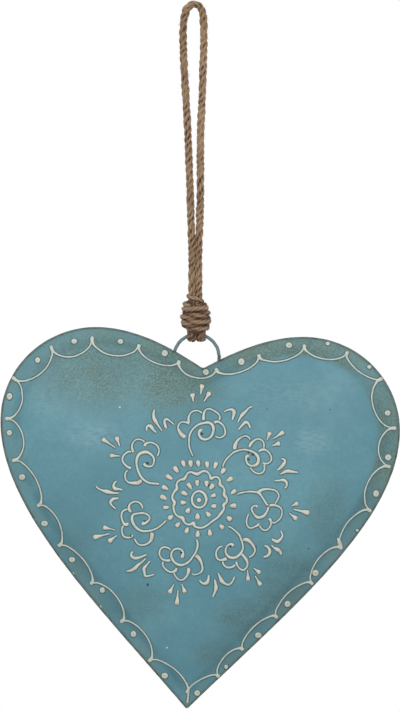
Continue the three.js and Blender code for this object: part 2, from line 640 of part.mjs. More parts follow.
// The hollow between the shells, kept clear of their walls
function hollow() {
  const rimInset = domeInset + SHEET + CLEARANCE;
  const depth = DOME_DEPTH - SHEET - CLEARANCE;
  const front = domeRings(rimInset, 0, depth, -1);
  const back = domeRings(rimInset, 0, depth, 1).slice(0, -1);
  return toSolid(skin([...front, ...back.reverse()], crown(depth, -1), crown(depth, 1)));
}

// A run of weld bead along part of the outline
function bead(samples) {
  const radius = BEAD_DIAMETER / 2;
  const rings = samples.map((sample) => {
    const ring = [];
    for (let k = 0; k < TURN_SIDES; k++) {
      const angle = (2 * Math.PI * k) / TURN_SIDES;
      ring.push(place(inset(sample, radius - radius * Math.cos(angle)), radius * Math.sin(angle)));
    }
    return ring;
  });
  const middle = (sample) => place(inset(sample, radius), 0);
  return skin(rings, middle(samples[0]), middle(samples[samples.length - 1]));
}

// Wire arch with two straight legs, behind the front lip and through notches in the back one
class HalfCircle extends THREE.Curve {
  getPoint(share) {
    const angle = Math.PI * (1 - share);
    return new THREE.Vector3(
      arch.x + ARCH_RADIUS * Math.cos(angle),
      wireSetback,
      arch.y + ARCH_RADIUS * Math.sin(angle),
    );
  }
}

const legLeft = arch.x - ARCH_RADIUS;
const legRight = arch.x + ARCH_RADIUS;

function wirePath() {
  const foot = (x) => new THREE.Vector3(x, wireSetback, arch.y - LEG_REACH);
  const spring = (x) => new THREE.Vector3(x, wireSetback, arch.y);
  const path = new THREE.CurvePath();
  path.add(new THREE.LineCurve3(foot(legLeft), spring(legLeft)));
  path.add(new HalfCircle());
  path.add(new THREE.LineCurve3(spring(legRight), foot(legRight)));
  return path;
}

const wireTool = () => toSolid(tube(wirePath(), 2 * legClear, CORD_SIDES, WIRE_STEPS));

// Lump of braze round a leg, run into the corner between the two shells
function brazeLump(legX) {
  const lump = new THREE.SphereGeometry(1, BRAZE_SIDES, BRAZE_RINGS);
  lump.scale(BRAZE_RADIUS, BRAZE_LENGTH / 2, BRAZE_RADIUS);
  lump.rotateX(Math.PI / 2);
  lump.translate(legX, wireSetback, shoulderAt(legX).point.y - BRAZE_DROP);
  return toGeometry(toSolid(lump).intersect(hollow()).subtract(wireTool()));
}

// The least gap between turns of a tube, measured between points along it
function leastGap(name, points, diameter) {
  const away = NEXT_TURN * diameter;
  let along = 0;
  const run = points.map((point, k) => {
    along += k ? point.distanceTo(points[k - 1]) : 0;
    return along;
  });
  let least = Infinity;
  for (let i = 0; i < points.length; i++) {
    for (let j = i + 1; j < points.length; j++) {
      if (run[j] - run[i] > away) least = Math.min(least, points[i].distanceTo(points[j]));
    }
  }
  console.log(`${name}: least gap to itself ${(least - diameter).toFixed(2)} mm`);
}

function hangingLoop() {
  const points = LOOP_ROUTE.map(([x, z]) => new THREE.Vector3(x, 0, z));
  const path = new THREE.CatmullRomCurve3(points);
  leastGap('hanging_loop', path.getSpacedPoints(4 * LOOP_STEPS), CORD_DIAMETER);
  return tube(path, CORD_DIAMETER, CORD_SIDES, LOOP_STEPS);
}

// Half width and half depth of what the wraps lie on, from the top of the knot to its bottom
function wrapped(share) {
  const swell = KNOT_BULGE * Math.sin(Math.PI * share);
  return {
    x: lerp(CORE_WIDTH / 2, eyeCorner, share) + swell,
    y: lerp(CORE_DEPTH / 2, eyeCorner, share) + swell,
  };
}

// The knot slants from the legs of the loop to its place on the wire
const knotMiddle = (drop) => lerp(LEG_MIDDLE, KNOT_X, drop / knotHeight);

// The legs of the cord inside the wraps, a barrel that ends clear above the eye
function knotCore() {
  const length = knotTop - (wireTop.z + eyeReach + CLEARANCE);
  const rings = [];
  for (let ring = 0; ring <= CORE_RINGS; ring++) {
    const drop = (length * ring) / CORE_RINGS;
    const half = wrapped(drop / knotHeight);
    const points = [];
    for (let k = 0; k < TURN_STEPS; k++) {
      const angle = (2 * Math.PI * k) / TURN_STEPS;
      points.push(new THREE.Vector3(
        knotMiddle(drop) + half.x * Math.cos(angle), half.y * Math.sin(angle), knotTop - drop,
      ));
    }
    rings.push(points);
  }
  const middle = (drop) => new THREE.Vector3(knotMiddle(drop), 0, knotTop - drop);
  return skin(rings, middle(0), middle(length));
}

// Wraps of the cord round its own legs, from the top down over the eye, both ends at the back
function knotWinding() {
  const radius = WRAP_DIAMETER / 2;
  const steps = Math.round(WRAP_TURNS * TURN_STEPS);
  const points = [];
  for (let k = 0; k <= steps; k++) {
    const share = k / steps;
    const angle = 2 * Math.PI * WRAP_TURNS * share;
    const drop = radius + share * (knotHeight - WRAP_DIAMETER);
    const half = wrapped(drop / knotHeight);
    points.push(new THREE.Vector3(
      knotMiddle(drop) + (half.x + CLEARANCE + radius) * Math.sin(angle),
      (half.y + CLEARANCE + radius) * Math.cos(angle),
      knotTop - drop,
    ));
  }
  // Each end runs on straight for one diameter
  const [first, second] = points;
  const [lastButOne, last] = points.slice(-2);
  const lead = first.clone().sub(second).setLength(WRAP_DIAMETER).add(first);
  const tail = last.clone().sub(lastButOne).setLength(WRAP_DIAMETER).add(last);
  const path = new THREE.CatmullRomCurve3([lead, ...points, tail]);
  leastGap('knot_winding', path.getSpacedPoints(2 * steps), WRAP_DIAMETER);
  return tube(path, WRAP_DIAMETER, TURN_SIDES, steps);
}

// Round turn of the cord on the wire: down behind, under, over in front, and under again
function knotEye() {
  const middle = new THREE.Vector3(wireTop.x, 0, wireTop.z - ARCH_RADIUS);
  const pitch = eyePitch / (ARCH_RADIUS - eyeRadius); // as an angle round the arch
  const steps = Math.round(EYE_TURNS * TURN_STEPS);
  const points = [];
  for (let k = 0; k <= steps; k++) {
    const angle = 2 * Math.PI * EYE_TURNS * (k / steps - 0.5);
    const slide = THREE.MathUtils.clamp(angle / (2 * Math.PI), -0.5, 0.5) * pitch;
    const reach = ARCH_RADIUS + eyeRadius * Math.cos(angle);
    points.push(new THREE.Vector3(
      middle.x + reach * Math.sin(slide),
      -eyeRadius * Math.sin(angle),
      middle.z + reach * Math.cos(slide),
    ));
  }
  const path = new THREE.CatmullRomCurve3(points);
  leastGap('knot_eye', path.getSpacedPoints(2 * steps), EYE_DIAMETER);
  return tube(path, EYE_DIAMETER, TURN_SIDES, steps);
}

// The outline from one leg of the wire to the other, round the tip and across the cleft
function outlineRuns() {
  const betweenLegs = ({ point }) => point.y > waistZ && point.x > legLeft && point.x < legRight;
  const acrossCleft = [...leftHalf, ...rightHalf.slice(1)].filter(betweenLegs);
  const roundTip = outline.filter((sample) => !betweenLegs(sample));
  const apart = CLEARANCE / 2;
  return {
    acrossCleft: [shoulderAt(legLeft + apart), ...acrossCleft, shoulderAt(legRight - apart)],
    roundTip: [shoulderAt(legRight + apart), ...roundTip, shoulderAt(legLeft - apart)],
  };
}

// Heart, turned about the centre of the arch that it hangs from
function heart() {
  const tool = wireTool();
  const clearOfWire = (geometry) => toGeometry(toSolid(geometry).subtract(tool));
  const { roundTip, acrossCleft } = outlineRuns();
  const seat = new THREE.Group();
  seat.position.set(-arch.x, -wireSetback, -arch.y);
  seat.add(node('front_shell', toGeometry(frontShell().subtract(tool)), paint));
  seat.add(node('back_shell', clearOfWire(shell(1)), paint));
  seat.add(node('seam_weld', clearOfWire(bead(roundTip)), wornPaint));
  seat.add(node('cleft_weld', clearOfWire(bead(acrossCleft)), wornPaint));
  seat.add(node('hanger_wire', tube(wirePath(), WIRE_DIAMETER, CORD_SIDES, WIRE_STEPS), wornPaint));
  seat.add(node('wire_braze_left', brazeLump(legLeft), braze));
  seat.add(node('wire_braze_right', brazeLump(legRight), braze));
  const group = new THREE.Group();
  group.position.set(wireTop.x, 0, wireTop.z - ARCH_RADIUS);
  group.rotation.y = rad(HEART_LEAN_DEG);
  group.add(seat);
  return group;
}

function hanger() {
  const group = new THREE.Group();
  group.add(node('hanging_loop', hangingLoop(), jute));
  group.add(node('knot_core', knotCore(), jute));
  group.add(node('knot_winding', knotWinding(), jute));
  group.add(node('knot_eye', knotEye(), jute));
  return group;
}

const ornament = new THREE.Group();
ornament.add(hanger(), heart());

export default ornament;
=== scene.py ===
"""Iron heart ornament on a jute cord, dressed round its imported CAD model.

Sizes are in millimetres and are scaled to metres where a mesh is placed. The front faces -Y.
"""

import bisect
import json
import math
import random

import bmesh
import bpy
from mathutils import Matrix, Vector, geometry, noise


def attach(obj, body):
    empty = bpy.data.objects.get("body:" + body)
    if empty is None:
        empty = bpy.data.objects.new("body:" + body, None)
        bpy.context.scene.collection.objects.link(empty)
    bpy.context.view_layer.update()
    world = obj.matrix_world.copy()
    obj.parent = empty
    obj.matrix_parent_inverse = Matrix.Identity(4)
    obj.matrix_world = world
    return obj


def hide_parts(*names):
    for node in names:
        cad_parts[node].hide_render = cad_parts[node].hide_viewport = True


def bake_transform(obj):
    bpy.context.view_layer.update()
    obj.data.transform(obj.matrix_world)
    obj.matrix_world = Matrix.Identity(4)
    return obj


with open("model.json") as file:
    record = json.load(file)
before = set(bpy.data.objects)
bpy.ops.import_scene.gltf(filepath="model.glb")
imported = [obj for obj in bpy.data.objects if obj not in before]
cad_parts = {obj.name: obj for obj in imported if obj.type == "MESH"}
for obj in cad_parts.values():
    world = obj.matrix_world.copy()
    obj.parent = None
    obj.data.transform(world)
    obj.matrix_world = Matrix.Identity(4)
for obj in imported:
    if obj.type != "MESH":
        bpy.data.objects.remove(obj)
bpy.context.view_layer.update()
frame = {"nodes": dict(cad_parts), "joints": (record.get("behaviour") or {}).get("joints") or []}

MM = 0.001
scene = bpy.context.scene
joints = {joint["name"]: Vector(joint["pos_m"]) / MM for joint in frame["joints"]}

# Heart outline and domes, the sizes of the CAD model
HEART_WIDTH = 200
HEART_HEIGHT = 189
CREST_SPREAD = 104
CLEFT_DROP = 18.2
WAIST_HEIGHT = 142
CLEFT_SLOPE = math.radians(31)
CLEFT_REACH = 18.5
CREST_REACH = 18.5
FLANK_REACH = 45
TIP_HALF_ANGLE = math.radians(43)
TIP_REACH = 68
DOME_DEPTH = 22
CROWN_HEIGHT = 105
CROWN_RADIUS = 80
DOME_FULLNESS = 0.7
DOME_INSET = 3.3
DOME_BASE = 0.95
SHEET = 0.8
TIP_Z = -CROWN_HEIGHT
CREST_Z = TIP_Z + HEART_HEIGHT
CLEFT_Z = CREST_Z - CLEFT_DROP
WAIST_Z = TIP_Z + WAIST_HEIGHT

# Turn of the sheet at the rim, and the dents of handwork, with noise far apart for the two sides
EDGE_INSET = 0.8
EDGE_HEIGHT = 0.6
EDGE_SLOPE = 0.6
PAST_EDGE = 1.2
TURN_WIDTH = 5
SLOPE_STEP = 0.5
DENT_DEPTH = 0.45
DENT_SIZE = 42
DENT_FADE = 16
SIDES_APART = 500
RIPPLE_DEPTH = 0.1
RIPPLE_SIZE = 15
CREASE_DEPTH = 0.22
CREASE_INSET = 7.5
CREASE_WIDTH = 2.2
RIM_STEPS = 170
DOME_RINGS = 46

# Weld bead and wire arch
BEAD_RADIUS = 0.7
BEAD_STEP = 1.1
TIP_GAP = 1.5 * BEAD_RADIUS
BEAD_LUMP = 0.1
BEAD_LUMP_SIZE = 1.7
BEAD_WAVE = 0.08
BEAD_WAVE_SIZE = 6
WIRE_RADIUS = 0.85
ARCH_RADIUS = 11.3
ARCH_OFFSET = 3.5
ARCH_RISE = 5.5
ARCH_STEPS = 48
ARCH_WAVE = 0.25
ARCH_WAVES = 7
LEG_REACH = 13
LEG_STEPS = 8
WIRE_SETBACK = 1.0
ARCH_Z = CLEFT_Z + ARCH_RISE
LEGS_X = (-ARCH_OFFSET - ARCH_RADIUS, -ARCH_OFFSET + ARCH_RADIUS)
HEART_LEAN = math.radians(2.74)

# Jute cord; its radius is that of the full strands, and a run is the length of a slow change
CORD_DIAMETER = 3.8
CORD_RADIUS = 2.1
CORD_LAY = 11.5
CORD_STEP = 0.9
STRANDS = 3
STRAND_SHARE = 0.6
YARNS = 4
YARN_SHARE = 0.5
YARN_LAY = 9
LAY_SLACK = 2.2
LAY_SLACK_RUN = 13
GIRTH_WAVE = 0.12
GIRTH_RUN = 8
STRAND_WAVE = 0.16
STRAND_RUN = 5
YARN_WAVE = 0.25
YARN_RUN = 3
HAIR_RADIUS = 0.06
HAIR_LENGTHS = (1.6, 4.5)
HAIR_RISES = (0.25, 0.9)
HAIR_ROOT = 0.82
HAIR_ASIDE = 0.6
HAIR_STEPS = 4

# Knot: wraps with their lead, the cord's eye on the wire, and the strand above the wraps
WRAP_RADIUS = 2.3
WRAP_LAY = 30
WRAP_LEAD = 0.45
WRAP_LEAD_PITCH = 0.3
WRAP_TURNS = 4
WRAP_STEPS = 140
WRAP_PITCH = 3.3
WRAP_MIDDLE = 9
WRAP_WAVE = 0.2
WRAP_WAVE_TURN = 1.7
WRAP_SAG = 0.35
WRAP_SAG_WAVE = 0.4
WRAP_SAG_TURN = 1.3
WRAP_TUCK = 2
WRAP_TUCK_FROM = WRAP_TURNS - 0.5
WRAP_TUCK_TO = WRAP_TURNS - 0.2
KNOT_SHIFT = -0.2
KNOT_SLANT = 0.05
KNOT_FLATNESS = 0.85
KNOT_LEG_TOP = -147.5
KNOT_LEG_FOOT = -158.5
EYE_RADIUS = 2.6
EYE_REACH = 3.85
EYE_PITCH = 4.6
EYE_LAY = 13
EYE_TURNS = 2.5
EYE_START = -3
EYE_STEPS = 114
EYE_SQUEEZE = 0.62
CROSSING_RADIUS = 1.1
CROSSING_STEP = 0.6
LEG_MIDDLE = 0.5
LEG_GAP = -0.5
LEG_LEFT = LEG_MIDDLE - (CORD_DIAMETER + LEG_GAP) / 2
LEG_RIGHT = LEG_MIDDLE + (CORD_DIAMETER + LEG_GAP) / 2

# Route of the hanging loop, (x, z), from the left leg over the nail to the right leg
LOOP_ROUTE = [
    (LEG_LEFT, -149), (LEG_LEFT, -140), (LEG_LEFT, -121), (-1.7, -106), (-2.1, -91), (-2.7, -76),
    (-3.3, -61), (-4.15, -46), (-5, -31), (-5.5, -20), (-5.6, -11), (-4.8, -3.8), (-3, 0.5),
    (0, CORD_DIAMETER / 2), (3, 0.5), (4.4, -3.8), (4.75, -11), (4.75, -20), (4.35, -31),
    (3.9, -46), (3.2, -61), (3.05, -76), (3.05, -91), (2.75, -106), (LEG_RIGHT, -121),
    (LEG_RIGHT, -140), (LEG_RIGHT, -149),
]

# Half width of the wraps at drops below the top of the knot
KNOT_SHAPE = ((2, 4.3, 7.7, 11, 13.6, 16), (4.3, 5, 5.6, 6.1, 4.8, 3.9))

# Strand that crosses the legs above the wraps, from the back round the front and back in
CROSSING_ROUTE = [
    (2.4, 2.4, -147.5), (-0.4, 2.5, -145.4), (-2.4, 1.6, -144), (-2.9, -0.6, -144.3),
    (-1.2, -2.3, -145), (1.5, -2.5, -145.6), (3.6, -1.5, -146.4), (3.9, 0.6, -147.2), (3.2, 2, -148.4),
]

# Camera and floor
VIEW_CENTRE = (2.85, -173.9)
VIEW_HEIGHT = 355.8
IMAGE_SIZE = (400, 711)
PIXEL = VIEW_HEIGHT / IMAGE_SIZE[1]
CAMERA_DISTANCE = 2000
SENSOR = 24
FLOOR_Z = -450
FLOOR_HALF = 900
FLOOR_GREY = (0.8, 0.8, 0.8, 1)
FLOOR_PALE = (0.84, 0.84, 0.84, 1)

# Light, with each lamp's place in metres and its power
WHITE = (1, 1, 1, 1)
WORLD_LIGHT = 0.54
LAMP_SIZE = 0.5
LAMP_AIM = (0.001, 0, -0.246)
LAMPS = (
    ("left_softbox", (-0.62, -1.15, 0.3), 3.8),
    ("right_softbox", (0.62, -1.15, 0.3), 3.6),
    ("top_softbox", (0, -0.6, 0.75), 1.0),
)


def to_linear(red, green, blue):
    """A colour as it is seen on a screen, as Blender's linear RGBA."""
    linear = []
    for value in (red, green, blue):
        share = value / 255
        low = share / 12.92
        high = ((share + 0.055) / 1.055) ** 2.4
        linear.append(low if share <= 0.04045 else high)
    return (*linear, 1)


def smooth_step(low, high, value):
    share = min(1, max(0, (value - low) / (high - low)))
    return share * share * (3 - 2 * share)


def smooth_line(points, step):
    """Points about a step apart on a smooth line through the given ones."""
    points = [Vector(point) for point in points]
    ends = [2 * points[0] - points[1], *points, 2 * points[-1] - points[-2]]
    line = [points[0]]
    for before, a, b, after in zip(ends, ends[1:], ends[2:], ends[3:]):
        pieces = max(1, round((b - a).length / step))
        for k in range(1, pieces + 1):
            t = k / pieces
            bend = (2 * before - 5 * a + 4 * b - after) * t + (3 * a - before - 3 * b + after) * t * t
            line.append(a + 0.5 * t * (b - before + bend))
    return line


def walk(line):
    """How far each point of a line is from its start."""
    run = [0.0]
    for a, b in zip(line, line[1:]):
        run.append(run[-1] + (b - a).length)
    return run


def spaced(line, count):
    """The same line in equal steps."""
    run = walk(line)
    return [at_distance(line, run, run[-1] * k / count)[0] for k in range(count + 1)]


def at_distance(line, run, distance):
    """Point and direction at a distance along a line."""
    k = max(1, min(bisect.bisect_left(run, distance), len(line) - 1))
    a, b = line[k - 1], line[k]
    share = (distance - run[k - 1]) / (run[k] - run[k - 1])
    return a.lerp(b, share), (b - a).normalized()


def look_up(places, values, place):
    """Value at a place, on straight lines between the values of a table."""
    k = max(1, min(bisect.bisect_left(places, place), len(places) - 1))
    share = (place - places[k - 1]) / (places[k] - places[k - 1])
    return values[k - 1] + share * (values[k] - values[k - 1])


# Outline of the heart
def half_outline():
    """Right half of the outline as (x, z), from the cleft to the tip."""
    half_width = HEART_WIDTH / 2
    crest_x = CREST_SPREAD / 2
    leave = Vector((math.cos(CLEFT_SLOPE), math.sin(CLEFT_SLOPE))) * CLEFT_REACH
    shoulder = geometry.interpolate_bezier(
        Vector((0, CLEFT_Z)),
        Vector((0, CLEFT_Z)) + leave,
        Vector((crest_x - CREST_REACH, CREST_Z)),
        Vector((crest_x, CREST_Z)),
        RIM_STEPS,
    )
    lobe = []
    for k in range(1, RIM_STEPS):
        angle = math.pi / 2 * k / RIM_STEPS
        lobe.append(Vector((
            crest_x + (half_width - crest_x) * math.sin(angle),
            WAIST_Z + (CREST_Z - WAIST_Z) * math.cos(angle),
        )))
    rise = Vector((math.sin(TIP_HALF_ANGLE), math.cos(TIP_HALF_ANGLE))) * TIP_REACH
    flank = geometry.interpolate_bezier(
        Vector((half_width, WAIST_Z)),
        Vector((half_width, WAIST_Z - FLANK_REACH)),
        Vector((0, TIP_Z)) + rise,
        Vector((0, TIP_Z)),
        RIM_STEPS,
    )
    return spaced([Vector(point) for point in (*shoulder, *lobe, *flank)], RIM_STEPS)


RIM = half_outline()
RIM_RUN = walk(RIM)


def on_rim(side, distance, inset):
    """Point (x, z) on one side of the outline, so far from the cleft, drawn in by an inset."""
    point, forward = at_distance(RIM, RIM_RUN, distance)
    inner = point - Vector((-forward.y, forward.x)) * inset
    return Vector((side * inner.x, inner.y))


def polar_outline(inset):
    """The outline drawn in by an inset, as angles from the top and distances from the crown."""
    cleft = Vector((0, CLEFT_Z - inset / math.cos(CLEFT_SLOPE)))
    tip = Vector((0, TIP_Z + inset / math.sin(TIP_HALF_ANGLE)))
    points = [on_rim(1, distance, inset) for distance in RIM_RUN[1:-1]]
    points = [cleft, *(point for point in points if point.x > inset / 2), tip]
    table = sorted((math.atan2(point.x, point.y), point.length) for point in points)
    return [row[0] for row in table], [row[1] for row in table]


DOME_RIM = polar_outline(DOME_INSET)
SHEET_RIM = polar_outline(EDGE_INSET)


def reach(table, x, z):
    """Distance from the crown to a polar outline, through the point (x, z)."""
    angles, lengths = table
    return look_up(angles, lengths, min(math.atan2(abs(x), z), angles[-1]))


def dome(distance, rim):
    """Height of the smooth dome at a distance from its crown."""
    spread = rim - CROWN_RADIUS
    if abs(spread) < 1e-6:
        share = distance / CROWN_RADIUS
    else:
        root = math.sqrt(CROWN_RADIUS ** 2 + 4 * spread * distance)
        share = (root - CROWN_RADIUS) / (2 * spread)
    return DOME_BASE + (DOME_DEPTH - DOME_BASE) * max(0, 1 - share * share) ** DOME_FULLNESS


def dents(x, z, side):
    """Slow waves and small ripples of beaten sheet."""
    place = Vector((x, SIDES_APART * side, z))
    wave = DENT_DEPTH * noise.noise(place / DENT_SIZE)
    return wave + RIPPLE_DEPTH * noise.noise(place / RIPPLE_SIZE)


def sheet_height(x, z, side=-1):
    """Height of a shell's face above the seam plane, in the frame of the heart."""
    distance = math.hypot(x, z)
    rim = reach(DOME_RIM, x, z)
    edge = reach(SHEET_RIM, x, z)
    turn = rim - TURN_WIDTH
    dent = dents(x, z, side) * smooth_step(0, DENT_FADE, edge - distance)
    dent -= CREASE_DEPTH * math.exp(-((edge - distance - CREASE_INSET) / CREASE_WIDTH) ** 2)
    if distance <= turn:
        return dome(distance, rim) + dent
    start = dome(turn, rim)
    width = edge - turn
    slope = (start - dome(turn - SLOPE_STEP, rim)) / SLOPE_STEP
    t = min(PAST_EDGE, (distance - turn) / width)
    height = start * (2 * t ** 3 - 3 * t ** 2 + 1) + EDGE_HEIGHT * (3 * t ** 2 - 2 * t ** 3)
    height += width * slope * (t ** 3 - 2 * t ** 2 + t) - width * EDGE_SLOPE * (t ** 3 - t ** 2)
    return height + dent


# Frame of the heart, with its origin under the crowns, to the frame of the model
HEART_PLACE = (
    Matrix.Translation(joints["lean"])
    @ Matrix.Rotation(HEART_LEAN, 4, "Y")
    @ Matrix.Translation((ARCH_OFFSET, -WIRE_SETBACK, -ARCH_Z))
)
TO_HEART = HEART_PLACE.inverted()
TO_METRES = Matrix.Scale(MM, 4)
AS_IT_IS = Matrix.Identity(4)

# Marks on the runs: how far apart they lie, and a crest with nothing inside
RUNS_APART = 97
NO_CREST = 100

# Corners nearer than this are one
MERGE = 1e-5
SHEET_MERGE = 1e-4


# Meshes
def add_piece(name, mesh, body, material, nodes=()):
    """A finished piece, smooth shaded, that rides on a body and stands for CAD nodes."""
    mesh.name = name
    mesh.shade_smooth()
    mesh.materials.clear()
    mesh.materials.append(material)
    piece = bpy.data.objects.new(name, mesh)
    scene.collection.objects.link(piece)
    if body:
        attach(piece, body)
    if nodes:
        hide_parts(*nodes)
    return piece


def round_runs(runs, resolution):
    """One mesh of round runs, each a list of (point, radius, point inside or None).

    fibre holds the place round and along each run, and crest how far the surface stands from the
    point inside.
    """
    curve = bpy.data.curves.new("runs", "CURVE")
    curve.dimensions = "3D"
    curve.bevel_depth = 1
    curve.bevel_resolution = resolution
    for run in runs:
        spline = curve.splines.new("POLY")
        spline.points.add(len(run) - 1)
        for place, (point, radius, _) in zip(spline.points, run):
            place.co = (*point, 1)
            place.radius = radius
    carrier = bpy.data.objects.new("runs", curve)
    mesh = bpy.data.meshes.new_from_object(carrier)
    bpy.data.objects.remove(carrier)
    bpy.data.curves.remove(curve)

    bm = bmesh.new()
    bm.from_mesh(mesh)
    bm.verts.ensure_lookup_table()
    fibre = bm.verts.layers.float_vector.new("fibre")
    crest = bm.verts.layers.float.new("crest")
    sides = len(bm.verts) // sum(len(run) for run in runs)
    index = 0
    for number, run in enumerate(runs):
        lengths = walk([point for point, _, _ in run])
        for (_, _, inner), length in zip(run, lengths):
            for k in range(sides):
                vert = bm.verts[index]
                angle = 2 * math.pi * k / sides
                vert[fibre] = (math.cos(angle), math.sin(angle), length + RUNS_APART * number)
                vert[crest] = (vert.co - inner).length if inner else NO_CREST
                index += 1
    bmesh.ops.remove_doubles(bm, verts=bm.verts[:], dist=MERGE)
    bmesh.ops.recalc_face_normals(bm, faces=bm.faces[:])
    bm.to_mesh(mesh)
    bm.free()
    for layer in list(mesh.uv_layers):
        mesh.uv_layers.remove(layer)
    return mesh


def run_piece(name, runs, place, body, material, nodes, resolution=1):
    """A piece of round runs, put in place from their own frame."""
    mesh = round_runs(runs, resolution)
    mesh.transform(TO_METRES @ place)
    return add_piece(name, mesh, body, material, nodes)


def draw_out(bm, rings):
    """Draws a closed section from one ring of points to the next, and gives the new vertices."""
    count = len(rings[0])
    ring = bmesh.ops.create_circle(bm, segments=count, radius=1)["verts"]
    drawn = [ring]
    for _ in rings[1:]:
        order = {vert: k for k, vert in enumerate(ring)}
        edges = [bm.edges.get((ring[k - 1], ring[k])) for k in range(count)]
        fresh = [None] * count
        for item in bmesh.ops.extrude_edge_only(bm, edges=edges)["geom"]:
            if isinstance(item, bmesh.types.BMVert):
                others = (edge.other_vert(item) for edge in item.link_edges)
                fresh[next(order[other] for other in others if other in order)] = item
        ring = fresh
        drawn.append(ring)
    for verts, points in zip(drawn, rings):
        for vert, point in zip(verts, points):
            vert.co = point
    return drawn


def rounded(radius, length, total):
    """Radius near an end of a run, rounded off to nothing."""
    rest = min(length, total - length)
    if rest >= radius:
        return radius
    return math.sqrt(max(0, radius ** 2 - (radius - rest) ** 2))


# Shells
def shell(side):
    """One domed sheet: its rim is drawn inwards ring by ring to the crown."""
    right = [point for point in RIM[1:-1] if point.x > EDGE_INSET]
    left = [Vector((-point.x, point.y)) for point in reversed(right)]
    outline = [Vector((0, 1)), *right, Vector((0, -1)), *left]
    heading = [point.normalized() for point in outline]
    edges = [reach(SHEET_RIM, *point) for point in heading]
    rings = []
    insets = []
    for step in range(DOME_RINGS + 1):
        share = math.sin(math.pi / 2 * (1 - step / DOME_RINGS))
        reaches = [share * (CROWN_RADIUS + share * (edge - CROWN_RADIUS)) for edge in edges]
        flat = [way * length for way, length in zip(heading, reaches)]
        rings.append([Vector((x, side * sheet_height(x, z, side), z)) for x, z in flat])
        insets.append([edge - length for edge, length in zip(edges, reaches)])

    bm = bmesh.new()
    rim_mark = bm.verts.layers.float.new("rim")
    for verts, row in zip(draw_out(bm, rings), insets):
        for vert, inset in zip(verts, row):
            vert[rim_mark] = inset
    bmesh.ops.remove_doubles(bm, verts=bm.verts[:], dist=SHEET_MERGE)
    bm.normal_update()
    bm.faces.ensure_lookup_table()
    if bm.faces[0].normal.y * side < 0:
        bmesh.ops.reverse_faces(bm, faces=bm.faces[:])
    bmesh.ops.solidify(bm, geom=bm.faces[:], thickness=SHEET)
    mesh = bpy.data.meshes.new("shell")
    bm.to_mesh(mesh)
    bm.free()
    mesh.transform(TO_METRES @ HEART_PLACE)
    return mesh


# Weld bead and wire
def bead_run(stops):
    """Weld along the rim, through (side, distance from the cleft) places."""
    flat = [on_rim(side, distance, BEAD_RADIUS) for side, distance in stops]
    line = smooth_line([(x, 0, z) for x, z in flat], BEAD_STEP)
    run = walk(line)
    beads = []
    for point, length in zip(line, run):
        lump = 1 + BEAD_LUMP * noise.noise(point / BEAD_LUMP_SIZE)
        lump += BEAD_WAVE * noise.noise(point / BEAD_WAVE_SIZE)
        beads.append((point, rounded(BEAD_RADIUS * lump, length, run[-1]), None))
    return beads


def even_stops(side, start, end):
    """Places on one side of the rim, a bead step apart."""
    count = max(2, round(abs(end - start) / BEAD_STEP))
    return [(side, start + (end - start) * k / count) for k in range(count + 1)]


def rim_distance(x):
    """How far from the cleft the rim stands at this x, on a shoulder."""
    k = next(k for k, point in enumerate(RIM) if point.x > abs(x))
    a, b = RIM[k - 1], RIM[k]
    share = (abs(x) - a.x) / (b.x - a.x)
    return RIM_RUN[k - 1] + share * (RIM_RUN[k] - RIM_RUN[k - 1])


def wire_run():
    """The arch, bent by hand, with its two legs."""
    points = []
    for k in range(LEG_STEPS + 1):
        points.append(Vector((LEGS_X[0], WIRE_SETBACK, ARCH_Z - LEG_REACH * (1 - k / LEG_STEPS))))
    for k in range(1, ARCH_STEPS):
        angle = math.pi * (1 - k / ARCH_STEPS)
        away = ARCH_RADIUS + ARCH_WAVE * math.cos(angle) ** 2 * noise.noise((ARCH_WAVES * angle, 0, 0))
        points.append(Vector((
            -ARCH_OFFSET + away * math.cos(angle),
            WIRE_SETBACK,
            ARCH_Z + away * math.sin(angle),
        )))
    for k in range(LEG_STEPS + 1):
        points.append(Vector((LEGS_X[1], WIRE_SETBACK, ARCH_Z - LEG_REACH * k / LEG_STEPS)))
    run = walk(points)
    return [(point, rounded(WIRE_RADIUS, length, run[-1]), None) for point, length in zip(points, run)]


# Cords
def laid_cord(route, radius, lay, seed, first_side, inside=None):
    """Yarns of a laid cord along a route of close points, as runs with the points inside it."""
    run = walk(route)
    side = Vector(first_side)
    yarns = [[] for _ in range(STRANDS * YARNS)]
    for k, (centre, length, inner) in enumerate(zip(route, run, inside or route)):
        forward = (route[min(k + 1, len(route) - 1)] - route[max(k - 1, 0)]).normalized()
        side = (side - forward * side.dot(forward)).normalized()
        other = forward.cross(side)
        slack = LAY_SLACK * noise.noise((length / LAY_SLACK_RUN, seed, 0))
        girth = radius * (1 + GIRTH_WAVE * noise.noise((length / GIRTH_RUN, seed, 30)))
        for number, yarn in enumerate(yarns):
            strand, thread = divmod(number, YARNS)
            turn = 2 * math.pi * (length / lay + strand / STRANDS) + slack
            plump = 1 + STRAND_WAVE * noise.noise((length / STRAND_RUN, seed, 7 + 3 * strand))
            size = STRAND_SHARE * girth * plump
            outward = side * math.cos(turn) + other * math.sin(turn)
            aside = forward.cross(outward)
            twist = 2 * math.pi * (thread / YARNS - length / YARN_LAY)
            uneven = 1 + YARN_WAVE * noise.noise((length / YARN_RUN, seed, 50 + number))
            thin = YARN_SHARE * size * uneven
            place = centre + outward * (girth - size)
            place += (outward * math.cos(twist) + aside * math.sin(twist)) * (size - thin)
            yarn.append((place, rounded(thin, length, run[-1]), inner))
    return yarns


